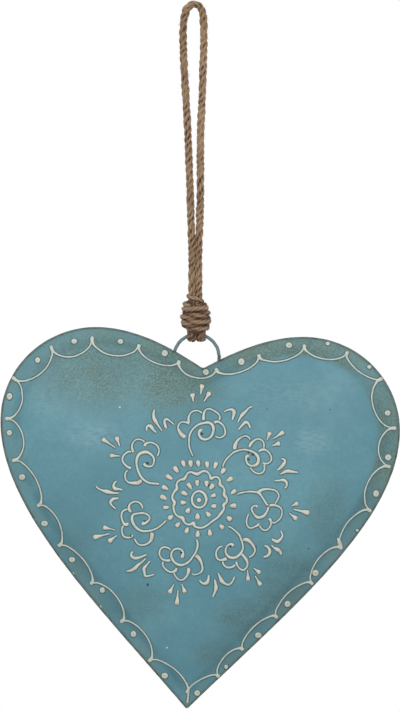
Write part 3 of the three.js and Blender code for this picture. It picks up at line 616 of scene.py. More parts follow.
def fuzz(route, radius, count, seed, highest):
    """Loose fibres that stand off a cord up to a highest rise, bent over along it."""
    draw = random.Random(seed)
    hairs = []
    for _ in range(count):
        k = draw.randrange(2, len(route) - 3)
        forward = (route[k + 1] - route[k - 1]).normalized()
        around = Vector([draw.gauss(0, 1) for _ in range(3)])
        outward = (around - forward * around.dot(forward)).normalized()
        trail = forward * draw.choice((-1, 1))
        aside = forward.cross(outward) * draw.uniform(-HAIR_ASIDE, HAIR_ASIDE)
        length = draw.uniform(*HAIR_LENGTHS)
        rise = min(draw.uniform(*HAIR_RISES) * length, highest)
        hair = []
        for step in range(HAIR_STEPS + 1):
            share = step / HAIR_STEPS
            point = route[k] + outward * (HAIR_ROOT * radius + rise * share ** 0.8)
            point += (trail * length * (0.9 - 0.35 * share) + aside * length * share) * share * 0.7
            hair.append((point, HAIR_RADIUS * (1 - share) if step else 0, None))
        hairs.append(hair)
    return hairs


def loop_route():
    return smooth_line([(x, 0, z) for x, z in LOOP_ROUTE], CORD_STEP)


def wrap_route():
    """Middle of the wraps, from the top of the knot down, and points towards the knot's axis."""
    top = joints["twirl"]
    route = []
    inside = []
    for k in range(WRAP_STEPS + 1):
        turns = (WRAP_TURNS + WRAP_LEAD) * k / WRAP_STEPS - WRAP_LEAD
        angle = 2 * math.pi * turns
        tuck = WRAP_TUCK * smooth_step(WRAP_TUCK_FROM, WRAP_TUCK_TO, turns)
        level = max(turns, WRAP_LEAD_PITCH * turns) - WRAP_TURNS / 2
        drop = WRAP_MIDDLE + WRAP_PITCH * level - tuck
        half = look_up(*KNOT_SHAPE, drop + tuck) - tuck / 2
        half += WRAP_WAVE * noise.noise((angle / WRAP_WAVE_TURN, 0, 4))
        sag = WRAP_SAG * math.cos(2 * angle)
        sag += WRAP_SAG_WAVE * noise.noise((angle / WRAP_SAG_TURN, 0, 9))
        middle = top + Vector((KNOT_SHIFT + KNOT_SLANT * drop, 0, -drop - sag))
        outward = Vector((math.sin(angle), KNOT_FLATNESS * math.cos(angle), 0))
        point = middle + outward * half
        route.append(point)
        inside.append(point - outward.normalized() * 2 * WRAP_RADIUS)
    return route, inside


def eye_route():
    """Turns round the wire, side by side, with the step from one to the next behind.

    They start so many half turns from the end of that step.
    """
    crown = joints["swing"]
    points = []
    for k in range(EYE_STEPS + 1):
        angle = math.pi * (EYE_START + 2 * EYE_TURNS * k / EYE_STEPS)
        slide = smooth_step(-math.pi, 0, angle) - 0.5
        points.append(crown + Vector((
            EYE_PITCH * slide,
            -EYE_REACH * math.sin(angle),
            EYE_REACH * math.cos(angle),
        )))
    return points


def eye_squeeze():
    """Flattens the eye, pulled tight round the wire."""
    crown = Matrix.Translation(joints["swing"])
    squeeze = Matrix.Diagonal((1, EYE_SQUEEZE, EYE_SQUEEZE, 1))
    return crown @ squeeze @ crown.inverted()


# Nodes
def give(tree, node, inputs):
    """Gives each of these inputs a socket's link or a plain value."""
    for key, value in inputs.items():
        if isinstance(value, bpy.types.NodeSocket):
            tree.links.new(value, node.inputs[key])
        else:
            node.inputs[key].default_value = value


def put(tree, kind, inputs=None, **settings):
    """Adds a node with its settings and inputs."""
    node = tree.nodes.new(kind)
    for key, value in settings.items():
        setattr(node, key, value)
    give(tree, node, inputs or {})
    return node


def blend_colour(tree, mask, low, high):
    """Low where the mask is 0 and high where it is 1."""
    return put(tree, "ShaderNodeMix", {0: mask, 6: low, 7: high}, data_type="RGBA").outputs[2]


def calculate(tree, operation, *values, clamp=False):
    inputs = dict(enumerate(values))
    return put(tree, "ShaderNodeMath", inputs, operation=operation, use_clamp=clamp).outputs[0]


def times(tree, value, factor):
    return calculate(tree, "MULTIPLY", value, factor)


def washed(tree, colour, mask, strength, wash):
    """A colour with a wash of another over it, by a mask and its strength."""
    return blend_colour(tree, times(tree, mask, strength), colour, wash)


def spread(tree, value, low, high, start=0.0, end=1.0):
    """Value from low to high, smoothed, as start to end."""
    node = put(tree, "ShaderNodeMapRange", {
        "Value": value, "From Min": low, "From Max": high, "To Min": start, "To Max": end,
    }, interpolation_type="SMOOTHSTEP")
    return node.outputs["Result"]


def cloud(tree, place, scale, detail=4.0, roughness=0.55):
    """Cloudy noise, with its scale in waves to each unit of the place."""
    node = put(tree, "ShaderNodeTexNoise", {
        "Vector": place, "Scale": scale, "Detail": detail, "Roughness": roughness,
    })
    return node.outputs["Fac"]


def stretched(tree, place, scale):
    return put(tree, "ShaderNodeMapping", {"Vector": place, "Scale": scale}).outputs["Vector"]


def mark(tree, name):
    """A number that the mesh carries."""
    return put(tree, "ShaderNodeAttribute", attribute_name=name).outputs["Fac"]


def new_group(name, inputs):
    """A shader node group that puts out a mask, with its inputs and its output."""
    tree = bpy.data.node_groups.new(name, "ShaderNodeTree")
    for label, kind, value in inputs:
        socket = tree.interface.new_socket(label, in_out="INPUT", socket_type=kind)
        socket.default_value = value
    tree.interface.new_socket("Mask", in_out="OUTPUT", socket_type="NodeSocketFloat")
    return tree, put(tree, "NodeGroupInput").outputs, put(tree, "NodeGroupOutput")


def patch_group():
    """Ragged patches: how much of the surface they cover, and how soft their edges are."""
    tree, given, result = new_group("ragged_patches", [
        ("Place", "NodeSocketVector", (0, 0, 0)),
        ("Scale", "NodeSocketFloat", 0.1),
        ("Cover", "NodeSocketFloat", 0.4),
        ("Soft", "NodeSocketFloat", 0.08),
    ])
    clouds = cloud(tree, given["Place"], given["Scale"], 6.0, 0.62)
    middle = calculate(tree, "SUBTRACT", 0.75, times(tree, given["Cover"], 0.5))
    low = calculate(tree, "SUBTRACT", middle, given["Soft"])
    high = calculate(tree, "ADD", middle, given["Soft"])
    give(tree, result, {"Mask": spread(tree, clouds, low, high)})
    return tree


def spot_group():
    """A soft round or oval area, with its middle and half sizes."""
    tree, given, result = new_group("soft_spot", [
        ("Place", "NodeSocketVector", (0, 0, 0)),
        ("Middle", "NodeSocketVector", (0, 0, 0)),
        ("Reach", "NodeSocketVector", (1, 1, 1)),
        ("Core", "NodeSocketFloat", 0.2),
    ])
    way = given["Place"]
    for operation, name in (("SUBTRACT", "Middle"), ("DIVIDE", "Reach")):
        way = put(tree, "ShaderNodeVectorMath", {0: way, 1: given[name]}, operation=operation).outputs[0]
    length = put(tree, "ShaderNodeVectorMath", {0: way}, operation="LENGTH").outputs["Value"]
    give(tree, result, {"Mask": spread(tree, length, 1.0, given["Core"])})
    return tree


PATCHES = patch_group()
SPOT = spot_group()


def patches(tree, place, scale, cover, soft):
    inputs = {"Place": place, "Scale": scale, "Cover": cover, "Soft": soft}
    return put(tree, "ShaderNodeGroup", inputs, node_tree=PATCHES).outputs["Mask"]


def spot(tree, place, middle, half_sizes, core):
    inputs = {"Place": place, "Middle": middle, "Reach": half_sizes, "Core": core}
    return put(tree, "ShaderNodeGroup", inputs, node_tree=SPOT).outputs["Mask"]


def new_material(name):
    """A material with its node tree and its shader."""
    material = bpy.data.materials.new(name)
    material.use_nodes = True
    return material, material.node_tree, material.node_tree.nodes["Principled BSDF"]


def heart_place(tree):
    """Object coordinates turned into the frame of the heart, in millimetres."""
    mapping = put(tree, "ShaderNodeMapping", {
        "Vector": put(tree, "ShaderNodeTexCoord").outputs["Object"],
        "Location": TO_HEART.to_translation(),
        "Rotation": TO_HEART.to_euler(),
        "Scale": (1 / MM, 1 / MM, 1 / MM),
    })
    return mapping.outputs["Vector"]


def bump(tree, height, distance, strength):
    """Normal of a fine relief, with its distance in millimetres."""
    inputs = {"Height": height, "Distance": distance * MM, "Strength": strength}
    return put(tree, "ShaderNodeBump", inputs).outputs["Normal"]


# Colours, as they are seen on a screen
BLUE = to_linear(98, 150, 163)
BLUE_PALE = to_linear(112, 162, 174)
BLUE_DEEP = to_linear(82, 134, 148)
# Pale scuffs, partly painted highlights on the lobes
SCUFF_AND_SHEEN = to_linear(150, 182, 188)
STAIN = to_linear(120, 138, 118)
STAIN_LOW = to_linear(90, 114, 108)
STAIN_DARK = to_linear(68, 80, 62)
DULL = to_linear(84, 128, 138)
# Painted shade of the crease where the sheet turns at the rim
CREASE_SHADE = to_linear(64, 108, 120)
EDGE_GREY = to_linear(86, 104, 101)
WIRE_GREY = to_linear(105, 127, 133)
IRON = to_linear(58, 62, 58)
RUST = to_linear(92, 80, 64)
CHIP = to_linear(206, 216, 214)
SPECK = to_linear(46, 46, 38)
PALE = to_linear(205, 216, 207)
PEACH = to_linear(224, 209, 190)
DIMPLE = to_linear(186, 162, 140)
BORDER_PALE = to_linear(206, 214, 203)
BORDER_CREAM = to_linear(210, 212, 198)
# Dark film at the foot of the piped paint: painted shade with some dirt
SHADE_AND_DIRT_FILM_PALE = to_linear(88, 120, 122)
SHADE_AND_DIRT_FILM_DARK = to_linear(72, 92, 86)
JUTE = to_linear(158, 131, 101)
JUTE_PALE = to_linear(206, 175, 141)
JUTE_DARK = to_linear(120, 88, 57)
# Painted shade of the jute, in its grooves and over the knot
JUTE_SHADE = to_linear(74, 41, 17)
BRASS = to_linear(150, 122, 78)
BRASS_DARK = to_linear(80, 66, 50)

# Chips to bright metal and specks of dirt: pixel of the photograph, half width and half height
CHIPS = (
    (119.3, 406.6, 0.6, 0.5), (166.5, 647, 0.6, 0.5), (34.1, 519.4, 0.9, 0.7), (100, 606, 0.7, 0.6),
    (127.6, 640.6, 1, 0.7), (72.6, 572.8, 0.6, 0.6), (59.8, 556.6, 0.5, 0.5), (6.6, 395.5, 0.7, 0.8),
)
SPECKS = (
    (147.2, 584, 0.7, 0.9), (308, 548, 0.5, 0.5), (255.5, 546, 0.5, 0.5), (201.4, 433.5, 0.9, 0.8),
    (248, 452, 0.7, 0.5), (252.3, 454, 1, 0.8), (248.3, 459, 0.8, 0.6), (267.3, 505.5, 0.7, 0.6),
    (230, 546, 0.6, 0.6), (180.8, 552, 0.8, 0.6), (144, 520.5, 0.8, 0.6), (130.3, 535.5, 0.6, 0.6),
    (147, 462.5, 1.1, 0.7), (208.5, 485, 0.6, 0.6), (266.5, 408.5, 0.4, 0.4), (329.5, 409, 0.5, 0.4),
)


def painted_blue(tree, place):
    """Hand-brushed blue: slow changes, then fine ones along the brush."""
    slow = spread(tree, cloud(tree, place, 0.028), 0.3, 0.7)
    fine = spread(tree, cloud(tree, place, 0.32, 5.0, 0.65), 0.3, 0.72)
    grain = cloud(tree, stretched(tree, place, (0.45, 1, 1)), 1.0, 5.0, 0.7)
    colour = blend_colour(tree, slow, BLUE_DEEP, BLUE_PALE)
    colour = blend_colour(tree, 0.45, colour, BLUE)
    colour = washed(tree, colour, fine, 0.25, DULL)
    return washed(tree, colour, spread(tree, grain, 0.36, 0.66), 0.25, DULL)


def soft_areas(tree, place, areas):
    """Soft spots of the front and back, the strongest of them at each place."""
    total = 0.0
    for x, z, half_x, half_z, weight in areas:
        mask = spot(tree, place, (x, 0, z), (half_x, RIGHT_THROUGH, half_z), AREA_CORE)
        total = calculate(tree, "MAXIMUM", total, times(tree, mask, weight))
    return total


# Stained areas, and scuffed areas that are partly painted highlights on the lobes: (x, z, half width,
# half height, weight)
STAINS = (
    (-50, 64, 52, 30, 0.8), (-15, 59, 34, 24, 0.95), (26, -58, 22, 15, 0.6),
    (51.6, -32, 18, 6, 0.6), (-23.6, -53, 18, 14, 0.35), (48, -38, 24, 28, 0.5),
    (-60, -34, 16, 38, 0.2), (13, -76, 18, 12, 0.5), (66, -4, 17, 28, 0.4),
    (40, -48, 18, 13, 0.55), (-38, -62, 16, 20, 0.3),
)
BORDER_STAINS = (
    (40, 74, 64, 20, 0.95), (92, 34, 26, 58, 0.85), (-18, 72, 32, 16, 0.95), (40, -58, 40, 34, 0.15),
    (-96, 10, 16, 30, 0.3),
)
# Scuffs: the first two are painted highlights on the lobes with some scuffing, the others fainter scuffs
SCUFFS_AND_SHEEN = ((-52, 30, 22, 9, 0.5), (56, 32, 14, 10, 0.5), (-78, 46, 10, 14, 0.3), (40, 56, 36, 14, 0.25))

# How deep the soft areas and the marks go, and the share of each that is full
RIGHT_THROUGH = 1e4
AREA_CORE = 0.2
MARK_DEPTH = 5
MARK_CORE = 0.5

# Where tints of the sheet start and are full: distances from the rim, and heights
BORDER_STAIN_FADE = (13, 8)
GRIME_FADE = (9, 0)
EDGE_FADE = (1.0, 0.1)
STAIN_HEIGHTS = (-30, 40)


def marked(tree, place, colour, places, tint):
    """Small marks over a colour on the front, at pixels of the photograph."""
    for x, y, half_x, half_z in places:
        middle_x, middle_z = from_photo(x, y)
        middle = (middle_x, -sheet_height(middle_x, middle_z), middle_z)
        mask = spot(tree, place, middle, (half_x, MARK_DEPTH, half_z), MARK_CORE)
        colour = blend_colour(tree, mask, colour, tint)
    return colour


# Materials
def blue_paint():
    """Weathered blue paint over iron, with painted shade in a crease where the sheet turns at the rim,
    and painted highlights among scuffs on the lobes.
    """
    material, tree, shader = new_material("blue_paint")
    place = heart_place(tree)
    rim = mark(tree, "rim")
    streaky = stretched(tree, place, (0.5, 1, 1.3))
    # Pale streaky patches: painted highlights on the lobes, partly scuffs
    scuffs_and_painted_sheen = times(tree, soft_areas(tree, place, SCUFFS_AND_SHEEN), patches(tree, streaky, 0.6, 0.5, 0.12))
    colour = washed(tree, painted_blue(tree, place), scuffs_and_painted_sheen, 0.6, SCUFF_AND_SHEEN)

    # Painted shade in the crease where the sheet turns towards the rim, over its small dip
    crease_shade = calculate(tree, "ABSOLUTE", calculate(tree, "SUBTRACT", rim, CREASE_INSET))
    crease_shade = spread(tree, crease_shade, 2 * CREASE_WIDTH, 0)
    crease_shade = times(tree, crease_shade, patches(tree, place, 0.05, 0.6, 0.15))
    colour = washed(tree, colour, crease_shade, 0.55, CREASE_SHADE)

    border = times(tree, soft_areas(tree, place, BORDER_STAINS), spread(tree, rim, *BORDER_STAIN_FADE))
    uneven = spread(tree, cloud(tree, streaky, 0.14, 6.0, 0.65), 0.32, 0.62, 0.6, 1.0)
    stained = calculate(tree, "MAXIMUM", soft_areas(tree, place, STAINS), border)
    stained = calculate(tree, "MULTIPLY", stained, uneven, clamp=True)
    height = put(tree, "ShaderNodeSeparateXYZ", {"Vector": place}).outputs["Z"]
    stain = blend_colour(tree, spread(tree, height, *STAIN_HEIGHTS), STAIN_LOW, STAIN)
    colour = washed(tree, colour, stained, 0.5, stain)
    speckle = times(tree, patches(tree, place, 1.15, 0.5, 0.07), stained)
    colour = washed(tree, colour, speckle, 0.6, STAIN_DARK)

    grimy = times(tree, spread(tree, rim, *GRIME_FADE), patches(tree, place, 0.07, 0.5, 0.1))
    colour = washed(tree, colour, grimy, 0.35, STAIN)
    edge = spread(tree, patches(tree, place, 0.2, 0.6, 0.15), 0, 1, 0.2, 0.75)
    edge = times(tree, spread(tree, rim, *EDGE_FADE), edge)
    colour = blend_colour(tree, edge, colour, EDGE_GREY)
    colour = marked(tree, place, colour, CHIPS, CHIP)
    colour = marked(tree, place, colour, SPECKS, SPECK)
    grain = calculate(tree, "ADD", cloud(tree, place, 0.8, 5.0, 0.65), speckle)
    give(tree, shader, {
        "Base Color": colour,
        "Roughness": spread(tree, cloud(tree, place, 0.2, 5.0), 0.3, 0.7, 0.36, 0.5),
        "Specular IOR Level": 0.35,
        "Normal": bump(tree, grain, 0.1, 0.6),
    })
    return material


def worn_edge(name, coat, cover):
    """A thin dull coat rubbed through to dark iron, on the weld and the wire."""
    material, tree, shader = new_material(name)
    place = heart_place(tree)
    bare = patches(tree, place, 0.3, cover, 0.12)
    rusty = spread(tree, cloud(tree, place, 0.7, 5.0, 0.6), 0.45, 0.7)
    blue = spread(tree, cloud(tree, place, 0.4, 5.0, 0.6), 0.45, 0.7, 0, 0.35)
    colour = blend_colour(tree, blue, coat, BLUE)
    give(tree, shader, {
        "Base Color": washed(tree, colour, bare, 0.8, blend_colour(tree, rusty, IRON, RUST)),
        "Roughness": spread(tree, bare, 0, 1, 0.48, 0.62),
        "Metallic": times(tree, bare, 0.3),
        "Normal": bump(tree, cloud(tree, place, 1.4, 5.0, 0.6), 0.12, 0.7),
    })
    return material


def braze_metal():
    """Brassy lumps with a dark skin."""
    material, tree, shader = new_material("braze")
    place = heart_place(tree)
    dark = patches(tree, place, 0.5, 0.5, 0.1)
    give(tree, shader, {
        "Base Color": blend_colour(tree, dark, BRASS, BRASS_DARK),
        "Roughness": spread(tree, dark, 0, 1, 0.35, 0.6),
        "Metallic": 0.8,
        "Normal": bump(tree, cloud(tree, place, 1.1), 0.15, 0.6),
    })
    return material


def cream_paint(name, thin, thick):
    """Piped cream paint, tinted where thin and where thick, with a dark film at its foot that is painted
    shade with some dirt.
    """
    material, tree, shader = new_material(name)
    place = heart_place(tree)
    lift = mark(tree, "lift")
    uneven = calculate(tree, "MULTIPLY_ADD", cloud(tree, place, 0.5), 0.3, -0.15)
    high = calculate(tree, "ADD", lift, uneven)
    colour = blend_colour(tree, spread(tree, high, 0.25, 0.75), thin, thick)
    colour = washed(tree, colour, patches(tree, place, 0.4, 0.35, 0.12), 0.25, SHADE_AND_DIRT_FILM_DARK)
    colour = blend_colour(tree, spread(tree, lift, 1.2, 1.9), colour, DIMPLE)
    # Dark film at the foot of the paint: painted shade with some dirt, fading into the blue at its outer
    # edge
    shade_and_dirt_film = blend_colour(tree, patches(tree, place, 0.25, 0.6, 0.15), SHADE_AND_DIRT_FILM_PALE, SHADE_AND_DIRT_FILM_DARK)
    shade_and_dirt_film = blend_colour(tree, spread(tree, lift, -0.2, -1), shade_and_dirt_film, painted_blue(tree, place))
    colour = blend_colour(tree, spread(tree, lift, 0.13, 0.03), colour, shade_and_dirt_film)
    give(tree, shader, {
        "Base Color": marked(tree, place, colour, SPECKS, SPECK),
        "Roughness": 0.5,
        "Specular IOR Level": 0.35,
        "Normal": bump(tree, cloud(tree, place, 1.3), 0.06, 0.5),
    })
    return material


def jute(name, clear, deep, least, painted_shade_and_tone, painted_highlight):
    """Jute fibres along each yarn.

    The grooves get painted shade between the clear and the deep distance from the inside, by at least a
    share.
    The crowns get a painted highlight, and the whole is darkened by painted shade that is partly a
    darker tone of its own.
    """
    material, tree, shader = new_material(name)
    fibre = put(tree, "ShaderNodeAttribute", attribute_name="fibre").outputs["Vector"]
    crest = mark(tree, "crest")
    place = put(tree, "ShaderNodeTexCoord").outputs["Object"]
    streak = cloud(tree, stretched(tree, fibre, (2.2, 2.2, 0.42)), 1.6, 6.0, 0.7)
    colour = blend_colour(tree, spread(tree, streak, 0.3, 0.7), JUTE_DARK, JUTE_PALE)
    slow = spread(tree, cloud(tree, place, 160.0), 0.35, 0.65, 0.05, 0.5)
    colour = blend_colour(tree, slow, colour, JUTE)
    dull = spread(tree, cloud(tree, place, 45.0), 0.4, 0.65, 0, 0.45)
    colour = blend_colour(tree, dull, colour, JUTE_DARK)
    # Painted highlight on the crowns of the yarns
    crown = spread(tree, crest, clear, clear + (clear - deep) / 2, 0, painted_highlight)
    colour = blend_colour(tree, crown, colour, JUTE_PALE)
    # Painted shade in the grooves between strands and yarns, patchy, by at least a share
    grooves = spread(tree, cloud(tree, place, 150.0), 0.4, 0.6, least, 1.0)
    depth = times(tree, spread(tree, crest, clear, deep), grooves)
    colour = blend_colour(tree, depth, colour, JUTE_SHADE)
    give(tree, shader, {
        # Painted shade over the whole, partly a darker tone of its own
        "Base Color": blend_colour(tree, painted_shade_and_tone, colour, JUTE_SHADE),
        "Roughness": 0.85,
        "Sheen Weight": 0.2,
        "Sheen Roughness": 0.5,
        "Normal": bump(tree, streak, 0.3, 0.8),
    })
    return material


# Painted ornament, in the frame of the heart
STROKE_STEP = 0.55
STROKE_WAVE = 0.1
STROKE_RUN = 2.5
# Width of the dark film at the foot of the paint, painted shade with some dirt
BRIM = 0.55
BRUSH_UNIT = 0.092
DOT_SIDES = 18

# Unevenness of the hand: shares of a dab's or a drop's size, and millimetres
DAB_WOBBLE = 0.1
DROP_WOBBLE = 0.1
SCALLOP_WOBBLE = 0.1
DOT_WOBBLE = 0.15
hand = random.Random(11)

# Section of a piped line with a dark film at its foot, painted shade with some dirt: share of the half
# width, share of the brim, height as a share of the half width, and fading of the film
SECTION = (
    (1, 1, 0.01, -1), (1, 0.1, 0.05, 0), (0.9, 0, 0.36, 0), (0.57, 0, 0.69, 0), (0, 0, 0.84, 0),
    (-0.57, 0, 0.69, 0), (-0.9, 0, 0.36, 0), (-1, -0.1, 0.05, 0), (-1, -1, 0.01, -1),
    (-0.9, -0.8, -0.4, -1), (0.9, 0.8, -0.4, -1),
)
DAB_SECTION = (
    (0, 0, -0.3, -1), (0.9, 0.8, -0.3, -1), (1, 1, 0.01, -1), (1, 0.1, 0.04, 0), (0.93, 0, 0.22, 0),
    (0.72, 0, 0.42, 0), (0.42, 0, 0.4, 0.4), (0.2, 0, 0.3, 1.2), (0, 0, 0.26, 1.6),
)


def wobble(amount):
    return hand.uniform(-amount, amount)


def raised(place, lift, tint):
    """A point of paint so far above the front, and the tint it carries."""
    return Vector((place.x, -sheet_height(*place) - lift, place.y)), tint


def stroke(points):
    """A piped line on the front through (x, z, half width) points, as rings of raised points."""
    line = smooth_line(points, STROKE_STEP)
    flat = [Vector((x, z)) for x, z, _ in line]
    run = walk(flat)
    rings = []
    for k, (x, z, width) in enumerate(line):
        width *= 1 + STROKE_WAVE * noise.noise((x / STROKE_RUN, z / STROKE_RUN, 3))
        half = rounded(width, run[k], run[-1])
        shade_and_dirt_film = BRIM * half / width
        forward = (flat[min(k + 1, len(flat) - 1)] - flat[max(k - 1, 0)]).normalized()
        across = Vector((forward.y, -forward.x))
        rings.append([
            raised(flat[k] + across * (share * half + brim * shade_and_dirt_film), rise * half, rise * half + fade)
            for share, brim, rise, fade in SECTION
        ])
    return rings


def dab(middle, radius):
    """A round dab of paint with a sunken middle, as rings of raised points."""
    stretch = 1 + wobble(DAB_WOBBLE)
    rings = []
    for share, brim, rise, fade in DAB_SECTION:
        away = share * radius + brim * BRIM
        ring = []
        for k in range(DOT_SIDES):
            angle = 2 * math.pi * k / DOT_SIDES
            way = Vector((stretch * math.cos(angle), math.sin(angle) / stretch))
            ring.append(raised(middle + way * away, rise * radius, rise * radius + fade))
        rings.append(ring)
    return rings


def painted(strokes):
    """One mesh of strokes and dabs."""
    bm = bmesh.new()
    lift = bm.verts.layers.float.new("lift")
    for rings in strokes:
        drawn = draw_out(bm, [[point for point, _ in ring] for ring in rings])
        for verts, ring in zip(drawn, rings):
            for vert, (_, tint) in zip(verts, ring):
                vert[lift] = tint
    bmesh.ops.remove_doubles(bm, verts=bm.verts[:], dist=MERGE)
    bmesh.ops.recalc_face_normals(bm, faces=bm.faces[:])
    mesh = bpy.data.meshes.new("painted")
    bm.to_mesh(mesh)
    bm.free()
    mesh.transform(TO_METRES @ HEART_PLACE)
    return mesh


def from_photo(x, y):
    """Where a pixel of the photograph lies on the front, as (x, z) in the frame of the heart."""
    seen_x = VIEW_CENTRE[0] + PIXEL * (x + 0.5 - IMAGE_SIZE[0] / 2)
    seen_z = VIEW_CENTRE[1] - PIXEL * (y + 0.5 - IMAGE_SIZE[1] / 2)
    flat = TO_HEART @ Vector((seen_x, 0, seen_z))
    nearer = 1 - sheet_height(flat.x, flat.z) / CAMERA_DISTANCE
    flat = TO_HEART @ Vector((
        VIEW_CENTRE[0] + nearer * (seen_x - VIEW_CENTRE[0]),
        0,
        VIEW_CENTRE[1] + nearer * (seen_z - VIEW_CENTRE[1]),
    ))
    return Vector((flat.x, flat.z))


def drawn_stroke(points):
    """A stroke through pixels of the photograph, with widths by the brush's unit."""
    return stroke([(*from_photo(x, y), width * BRUSH_UNIT) for x, y, width in points])


def drop(head_x, head_y, tail_x, tail_y, size, shape):
    """A drop of paint pulled from its head to its tail, between two pixels."""
    head = from_photo(head_x, head_y)
    tail = from_photo(tail_x, tail_y)
    top = head + (head - tail).normalized() * size
    points = [(*top, size)]
    points += [(*head.lerp(tail, share), size * width) for share, width in shape]
    return stroke(points)


# Share of the way from the head of a drop to its tail, and its share of the size there
SPRAY_SHAPE = ((0, 1), (0.15, 0.84), (0.35, 0.5), (0.6, 0.34), (1, 0.26))
ROSETTE_SHAPE = ((0, 1), (0.3, 0.94), (0.6, 0.72), (0.85, 0.5), (1, 0.4))

